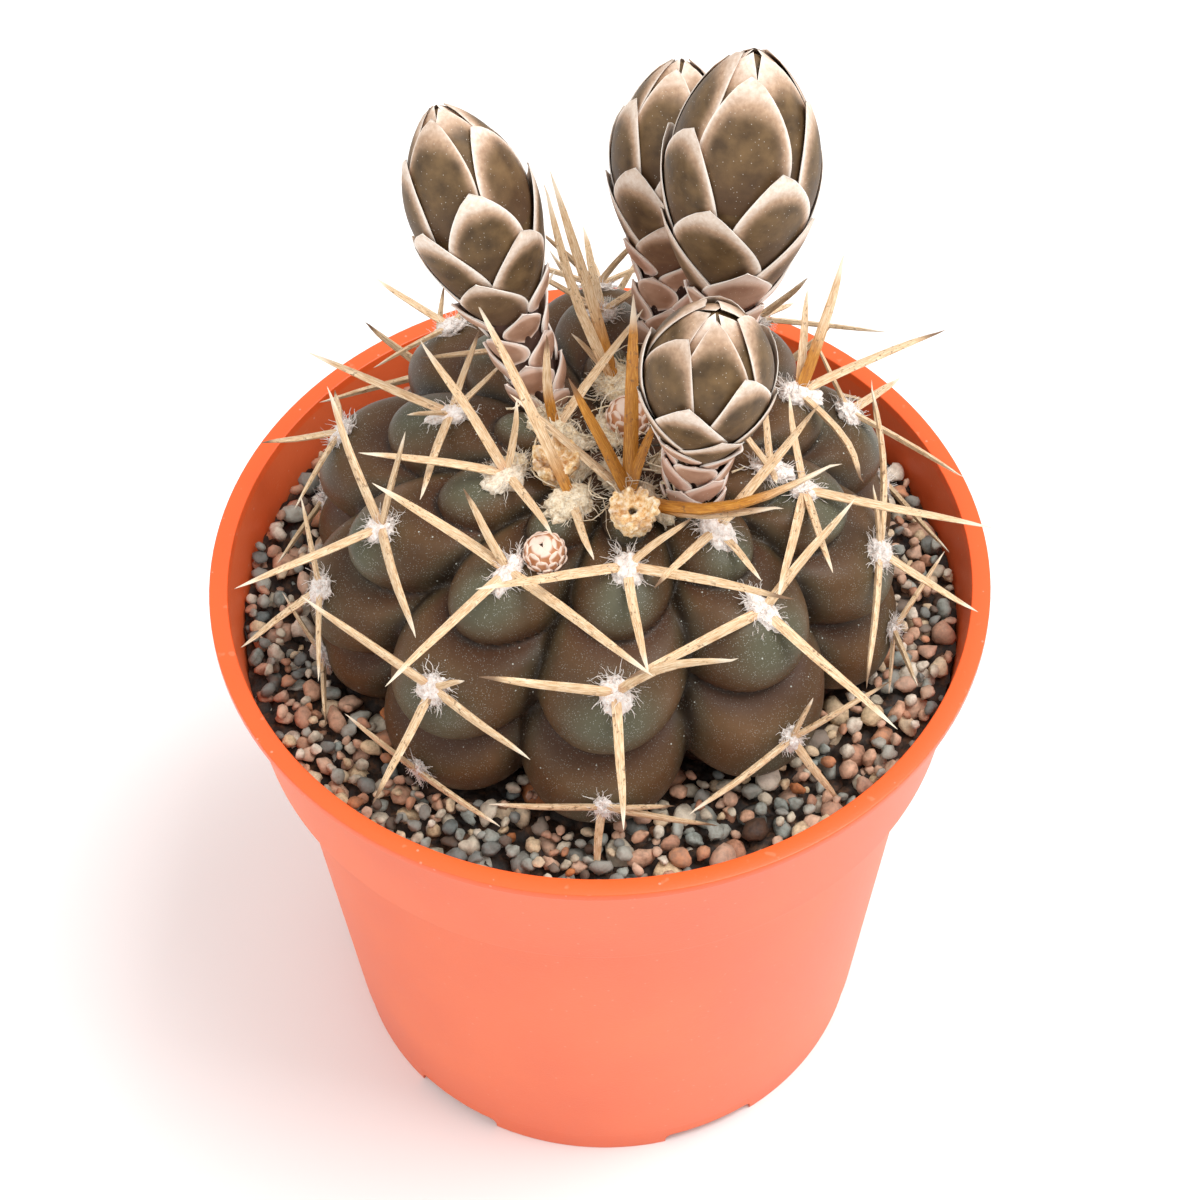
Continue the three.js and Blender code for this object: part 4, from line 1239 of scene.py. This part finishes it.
# %% The buds
BRACT_WIDTH, BRACT_LENGTH = 5.4, 5.6  # on a bud with a head of the usual radius
PLATE_WIDER, PLATE_LONGER, USUAL_HEAD = 5.8, 8.6, 8.2
SINK_FROM, SINK_STEP = 20, 0.1


def grow_bud(foot, reach, head, first_turn, seed):
    rng = random.Random(seed)
    start, reach = foot_on_skin(*foot), np.array(reach, float)
    centre = bud_axis(start, reach, core_share)
    spots = bud_points(start, reach, head, core_share, core_turn, core_inset)
    spots = centre + (spots - centre) * core_reach[:, None]
    marks = {"across": 0.0, "along": 0.0, "seed": 0.5, "edge": 0.0, "inner": 0.0}
    marks["growth"] = np.clip(core_share - 0.1, 0, 1)
    copies = [(spots, core_faces, marks)]
    for number in range(FIRST_SCALE, LAST_SCALE + 1):
        tip = tip_of(number)
        growth = float(smoothstep(tip, 0.44, 0.64))
        width = (BRACT_WIDTH + PLATE_WIDER * growth) * head / USUAL_HEAD
        width = width * rng.uniform(0.95, 1.05)
        length = (BRACT_LENGTH + PLATE_LONGER * growth**1.3) * head / USUAL_HEAD
        length = length * rng.uniform(0.96, 1.04)
        turn = math.radians(first_turn + number * GOLDEN_TURN)
        sink = SINK_STEP * max(0, number - SINK_FROM)
        bud = (start, reach, head)
        spots, marks = bend_scale(bud, tip, turn, width, length, growth, sink, rng)
        copies.append((spots, plate_faces, marks))
    return gather(copies)


buds = {name: grow_bud(*plan, seed=name) for name, plan in BUDS.items()}
print("buds:", {name: len(bud.data.polygons) for name, bud in buds.items()})

# %% [markdown]
# A scale is dark brown in its middle and foot and pales through tan to cream at the margins, with a
# painted highlight as a thin bright line along its very edge. The bracts of the tube are pink, and
# the core between them is plum brown. Fine white specks lie over everything, as on the body.

# %% The bud scales' finish
scaly = Finish("bud_scales", gloss=0.35)
across, along, growth = (scaly.value_of(name) for name in ("across", "along", "growth"))
seed, edge, inner = (scaly.value_of(name) for name in ("seed", "edge", "inner"))
mottle = scaly.noise(420, 3)
streaks = scaly.noise(1600, 3, 0.6)
pale = (edge + mottle * 0.16 - 0.08 + (seed - 0.5) * 0.2).above(0.14, 0.98)
middle = scaly.ramp(mottle, (0.3, "49361f"), (0.7, "745a3a"))
tan = scaly.ramp(streaks, (0.3, "a5846a"), (0.7, "c4a386"))
cream = scaly.ramp(streaks, (0.3, "e4cdb8"), (0.7, "f8ebdf"))
leaf = scaly.mix(pale.above(0.0, 0.55), middle, tan)
leaf = scaly.mix(pale.above(0.4, 1.0), leaf, cream)
leaf = scaly.mix((1 - along.above(0.05, 0.55)) * 0.7, leaf, "4c3421")
pink = scaly.ramp(mottle, (0.3, "a67b62"), (0.7, "c29a82"))
bract = scaly.mix(pale.above(0.0, 0.5), pink, "e6c6b2")
bract = scaly.mix(pale.above(0.5, 1.0) * 0.8, bract, "f1e2da")
scale = scaly.mix(1 - growth.above(0.1, 0.8), leaf, bract)
rosy = seed.above(0.55, 0.9) * (1 - growth.above(0.3, 0.95) * 0.85)
scale = scaly.mix(rosy * 0.3, scale, "c98f7a")
plum = scaly.ramp(mottle, (0.3, "4f3830"), (0.7, "6b5046"))
flesh = scaly.mix(growth.above(0.3, 0.6), plum, middle)
core_only = 1 - along.above(0.0, 0.004)
whole = scaly.mix(core_only, scale, flesh)
# painted highlight: a thin bright line along the scale's sides and tip, weaker on the inner plates
rim = across.above(0.92, 0.98) * along.above(0.04, 0.16)
rim = rim + along.above(0.965, 0.99) * (1 - rim)
whole = scaly.mix(rim * (0.9 - 0.5 * inner), whole, "fff6ec")
specks = scaly.dots(1700, 0.13)
scaly.feed("Base Color", scaly.mix(specks * 0.4, whole, "f1e8da"))
scaly.feed("Roughness", 0.46 + mottle * 0.2)
skin_grain = scaly.bump(streaks, 0.00012, 0.4)
scaly.feed("Normal", scaly.bump(specks, 0.0001, 0.4, skin_grain))
for name, bud in buds.items():
    dress(bud, name + "_scales", scaly, 55, [name])
print("buds dressed")

# %% [markdown]
# Two buds have only just started: little balls wrapped in tiny scales. They use the same core, the
# same plate and the same spiral as the big buds, but every corner is placed on a ball.

# %% The young buds
BUDLETS = {  # azimuth and polar angle on the skin, and radius
    "budlet_crown": (171, 9, 2.7),
    "budlet_side": (-27, 39.2, 2.5),
}
BUDLET_SCALES, SHOWS = 44, 0.45  # the ball's middle stands this share of its radius off the skin


def grow_budlet(azimuth, polar, radius):
    up, across, out = skin_axes(azimuth, polar)
    middle = skin(azimuth, polar) + out * (SHOWS * radius)

    def on_ball(share, turn, stand):
        share = np.clip(share, 0.001, 0.999)
        spoke = np.sin(turn)[..., None] * across - np.cos(turn)[..., None] * up
        swell = np.sqrt(np.maximum(1 - (2 * share - 1) ** 2, 0.0))[..., None]
        normal = spoke * swell + out * (2 * share - 1)[..., None]
        return middle + normal * (radius + stand[..., None])

    inset = np.full(len(core_corners), -0.3)
    marks = {"along": 0.0, "edge": 0.0}
    copies = [(on_ball(core_corners[:, 2], core_turn, inset), core_faces, marks)]
    for number in range(BUDLET_SCALES):
        tip = min(0.3 + 0.76 * (number / (BUDLET_SCALES - 1)) ** 0.8, 1.0)
        turn = math.radians(number * GOLDEN_TURN)
        length, width = radius * 0.66, radius * (0.62 + 0.42 * smoothstep(tip, 0.78, 1))
        half = np.clip(1 - plate_v, 0, 1) ** 0.4 * (0.7 + 0.9 * plate_v) * width / 2
        share = tip - (1 - plate_v) * length / (2.1 * radius)
        ring = radius * np.sqrt(np.maximum(1 - (2 * np.clip(share, 0.02, 0.995) - 1) ** 2, 0.02))
        angle = turn + plate_u * half / ring
        stand = -0.2 + 0.42 * plate_v + 0.12 * (1 - plate_u**2) + plate_side * 0.07
        edge = np.maximum(smoothstep(plate_v, 0.7, 1.0), np.abs(plate_u) ** 3)
        marks = {"along": plate_v, "edge": edge}
        copies.append((on_ball(share, angle, stand), plate_faces, marks))
    return gather(copies)


budlets = {name: grow_budlet(*plan) for name, plan in BUDLETS.items()}
print("young buds:", {name: len(bud.data.polygons) for name, bud in budlets.items()})

# %% [markdown]
# The young scales are terracotta with wide pale margins, so the little balls look netted.

# %% The young buds' finish
youth = Finish("young_bud_scales", gloss=0.3)
along, edge = youth.value_of("along"), youth.value_of("edge")
mottle = youth.noise(900, 3)
flesh = youth.ramp(mottle, (0.3, "a9683f"), (0.7, "c99069"))
flesh = youth.mix((1 - along.above(0.05, 0.5)) * 0.6, flesh, "93644d")
youth.feed("Base Color", youth.mix(edge.above(0.05, 0.6) * 0.9, flesh, "f2dccb"))
youth.feed("Roughness", 0.6 + mottle * 0.2)
youth.feed("Normal", youth.bump(mottle, 0.0001, 0.5))
for name, bud in budlets.items():
    dress(bud, name + "_scales", youth, 55, [name])
print("young buds dressed")

# %% [markdown]
# Two flowers have withered to a ring of crumpled, straw-dry stumps round a dark hollow. Each is
# raised as a cup, like the pot. Its rim is then torn into lobes by a wave of its angle, and two
# modifiers crumple it with noise.

# %% The withered flowers
DRIED = {  # azimuth and polar angle on the skin, and radius
    "dried_flower_front": (6, 28.5, 2.9),
    "dried_flower_side": (-58, 21, 2.9),
}
CUP_RINGS = [  # radius, height: up the outside of the cup, over its torn rim and into the hollow
    (0.62, -0.9), (0.84, -0.4), (0.98, 0.2), (1.08, 0.75), (1.0, 1.1), (0.86, 1.05), (0.7, 0.72),
    (0.5, 0.66), (0.3, 0.72), (0.17, 0.6), (0.13, -0.2),
]


def wither_flower(azimuth, polar, radius, seed):
    rng = random.Random(seed)
    start_clean()
    foot_radius, foot_height = CUP_RINGS[0]
    bpy.ops.mesh.primitive_circle_add(
        vertices=96, radius=foot_radius, fill_type="TRIFAN", location=(0, 0, foot_height)
    )
    cup = bpy.context.object
    edit_all()
    bpy.ops.mesh.region_to_loop()
    for (wide, low), (ring, high) in zip(CUP_RINGS, CUP_RINGS[1:]):
        climb, share = (high - low) / 3, (ring / wide) ** (1 / 3)
        for _ in range(3):
            extrude_up(climb, share)
    bpy.ops.mesh.extrude_region_move()
    bpy.ops.mesh.merge(type="CENTER")
    bpy.ops.object.mode_set(mode="OBJECT")
    make_tidy()
    corners, faces = take_shape(cup)
    turn = np.arctan2(corners[:, 0], corners[:, 1])
    petals = rng.uniform(0, 6)
    torn = np.abs(np.sin(turn * 3.5 + petals + 0.7 * np.sin(turn * 2))) ** 0.5
    rim = np.clip((corners[:, 2] + 0.2) / 1.3, 0, 1)
    fold = 1 + (0.22 * (torn - 0.6) + 0.05 * np.sin(turn * 17 + petals)) * rim
    corners[:, :2] *= fold[:, None]
    from_middle = np.hypot(corners[:, 0], corners[:, 1])
    corners[:, 2] += rim**2 * (torn - 0.7) * 0.7 * np.clip(from_middle * 1.6 - 0.5, 0, 1)
    up, across, out = skin_axes(azimuth, polar)
    level = (across * corners[:, :1] + up * corners[:, 1:2]) * radius * 0.92
    spots = skin(azimuth, polar) + level + out * corners[:, 2:] * radius * 0.78
    # how far down into the hollow, for its painted shade
    depth = 1 - np.clip(from_middle / 0.3, 0, 1)
    flower = gather([(spots, faces, {"deep": depth})])
    crumple = bpy.data.textures.new("crumple", "CLOUDS")
    crumple.noise_scale, crumple.noise_depth = 1.0 * MM, 3
    apply_modifier(flower, "SUBSURF", levels=1, render_levels=1)
    apply_modifier(
        flower, "DISPLACE", texture=crumple, strength=0.9 * MM, mid_level=0.5,
        texture_coords="GLOBAL",
    )
    return flower


flowers = {name: wither_flower(*plan, seed=name) for name, plan in DRIED.items()}
print("withered flowers:", {name: len(cup.data.polygons) for name, cup in flowers.items()})

# %% [markdown]
# The dry tissue is straw with brown folds; down in the hollow it gets a nearly black painted shade.

# %% The withered flowers' finish
dry = Finish("dry_petals", gloss=0.25)
fibres = dry.noise(1300, 4, 0.65)
folds = dry.noise(420, 3)
husk = dry.ramp(fibres, (0.3, "c4884a"), (0.46, "edc993"), (0.62, "fff0d6"))
husk = dry.mix((1 - folds.above(0.4, 0.55)) * 0.45, husk, "a4652f")
# painted shade: nearly black down in the hollow
husk = dry.mix(dry.value_of("deep").above(0.1, 0.7), husk, "2c1c10")
dry.feed("Base Color", husk)
dry.feed("Roughness", 0.7 + fibres * 0.25)
dry.feed("Normal", dry.bump(fibres, 0.0002, 0.8))
for name, flower in flowers.items():
    dress(flower, name + "_husk", dry, 180, [name])
print("withered flowers dressed")

# %% [markdown]
# Between the youngest cushions the crown is matted with loose cream wool and old hairs. Tufts of
# the same felt, without spines, fill it, and single long hairs lie over them.

# %% The wool of the crown
TUFTS = [  # azimuth, polar angle and size of each tuft
    (-150, 6, 1.25), (-20, 9, 1.0), (60, 12, 1.05), (150, 15, 1.2), (-95, 13, 1.15),
    (-55, 15, 1.0), (15, 19, 0.95), (-120, 21, 1.0), (-75, 27, 0.85), (100, 20, 0.9),
    (-170, 20, 0.95), (25, 24, 0.8),
]
TUFT_HAIRS, LONG_HAIRS = 90, 60
wisps = []
for number, (azimuth, polar, size) in enumerate(TUFTS):
    rng = random.Random(number)
    seat, axes = skin(azimuth, polar), skin_axes(azimuth, polar)
    wisps += felt_cushion(seat, axes, size, 1.0, TUFT_HAIRS, rng)
for number in range(LONG_HAIRS):
    rng = random.Random(number + 100)
    azimuth, polar = rng.uniform(-180, 180), 6 + 24 * rng.random()
    up, across, out = skin_axes(azimuth, polar)
    turn = rng.uniform(0, math.tau)
    direction = unit(up * math.sin(turn) + across * math.cos(turn) + out * rng.uniform(-0.05, 0.3))
    root = skin(azimuth, polar, 1.0 + 1.2 * rng.random())
    length, curl, width = rng.uniform(4, 10), rng.uniform(-0.2, 0.2), rng.uniform(0.1, 0.26)
    spots = curl_hair(root, direction, length, curl, width, rng)
    wisps.append((spots, hair_faces, {"cream": 1.0, "lit": rng.random()}))
wisps = gather(wisps)
dress(wisps, "crown_wool", wool, 180)
print("crown wool:", len(wisps.data.polygons), "faces")

# %% [markdown]
# The room is a plain pale floor under a white sky, as in a product picture. One large soft light
# stands at the right and one fills from the front left, so the shadows stay short and pale.

# %% Floor and light
start_clean()
bpy.ops.mesh.primitive_plane_add(size=6, location=(0, 0, 0))
floor = bpy.context.object
floor.name = "floor"
sweep = Finish("white_floor")
sweep.feed("Roughness", 0.6)
sweep.feed("Base Color", sweep.mix(sweep.noise(3, 3) * 0.3, "f7f7f6", "f2f2f1"))
floor.data.materials.append(sweep.material)
floor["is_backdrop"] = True

world = bpy.data.worlds.new("studio")
bpy.context.scene.world = world
world.use_nodes = True
sky = world.node_tree.nodes["Background"].inputs
sky["Color"].default_value = (1, 1, 1, 1)
sky["Strength"].default_value = 0.8
AIM = (0, 0, 0.08)  # the lights face the middle of the pot


def soft_light(name, place, size, power):
    lamp = bpy.data.lights.new(name, "AREA")
    lamp.size = size
    lamp.energy = power
    light_object = bpy.data.objects.new(name, lamp)
    light_object.location = place
    away = np.array(place) - AIM
    level = math.hypot(away[0], away[1])
    light_object.rotation_euler = (math.atan2(level, away[2]), 0, math.atan2(away[0], -away[1]))
    bpy.context.collection.objects.link(light_object)


soft_light("key_light", (0.4, -0.05, 1.0), 0.6, 9.5)
soft_light("fill_light", (-0.7, -0.5, 0.8), 0.9, 3.0)
print("stage and lights ready")

# %% [markdown]
# The photograph looks down at the plant at about fifty degrees, from half a metre away. The place,
# tilt and lens of the camera were found by fitting the ellipses of the rim and the foot.

# %% Camera
LOOKS_DOWN, ROLL = 51.51, -1.1  # degrees
lens = bpy.data.cameras.new("camera")
lens.sensor_width = 36
lens.lens = 93.78
camera = bpy.data.objects.new("camera", lens)
camera.location = (0, -0.26537, 0.41754)
camera.rotation_mode = "ZYX"  # the roll about the lens comes first, then the tilt
camera.rotation_euler = (math.radians(90 - LOOKS_DOWN), 0, math.radians(ROLL))
bpy.context.collection.objects.link(camera)
bpy.context.scene.camera = camera
bpy.context.scene.view_settings.view_transform = "Standard"
print("camera ready")

# %% [markdown]
# The boxes of the imported model and of the finer pieces are printed.

# %% Sizes, and the frame closed
boxes = {"cad": cad_box, "visual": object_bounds()}
boxes = {name: [[float(side) for side in corner] for corner in box] for name, box in boxes.items()}
print(boxes)
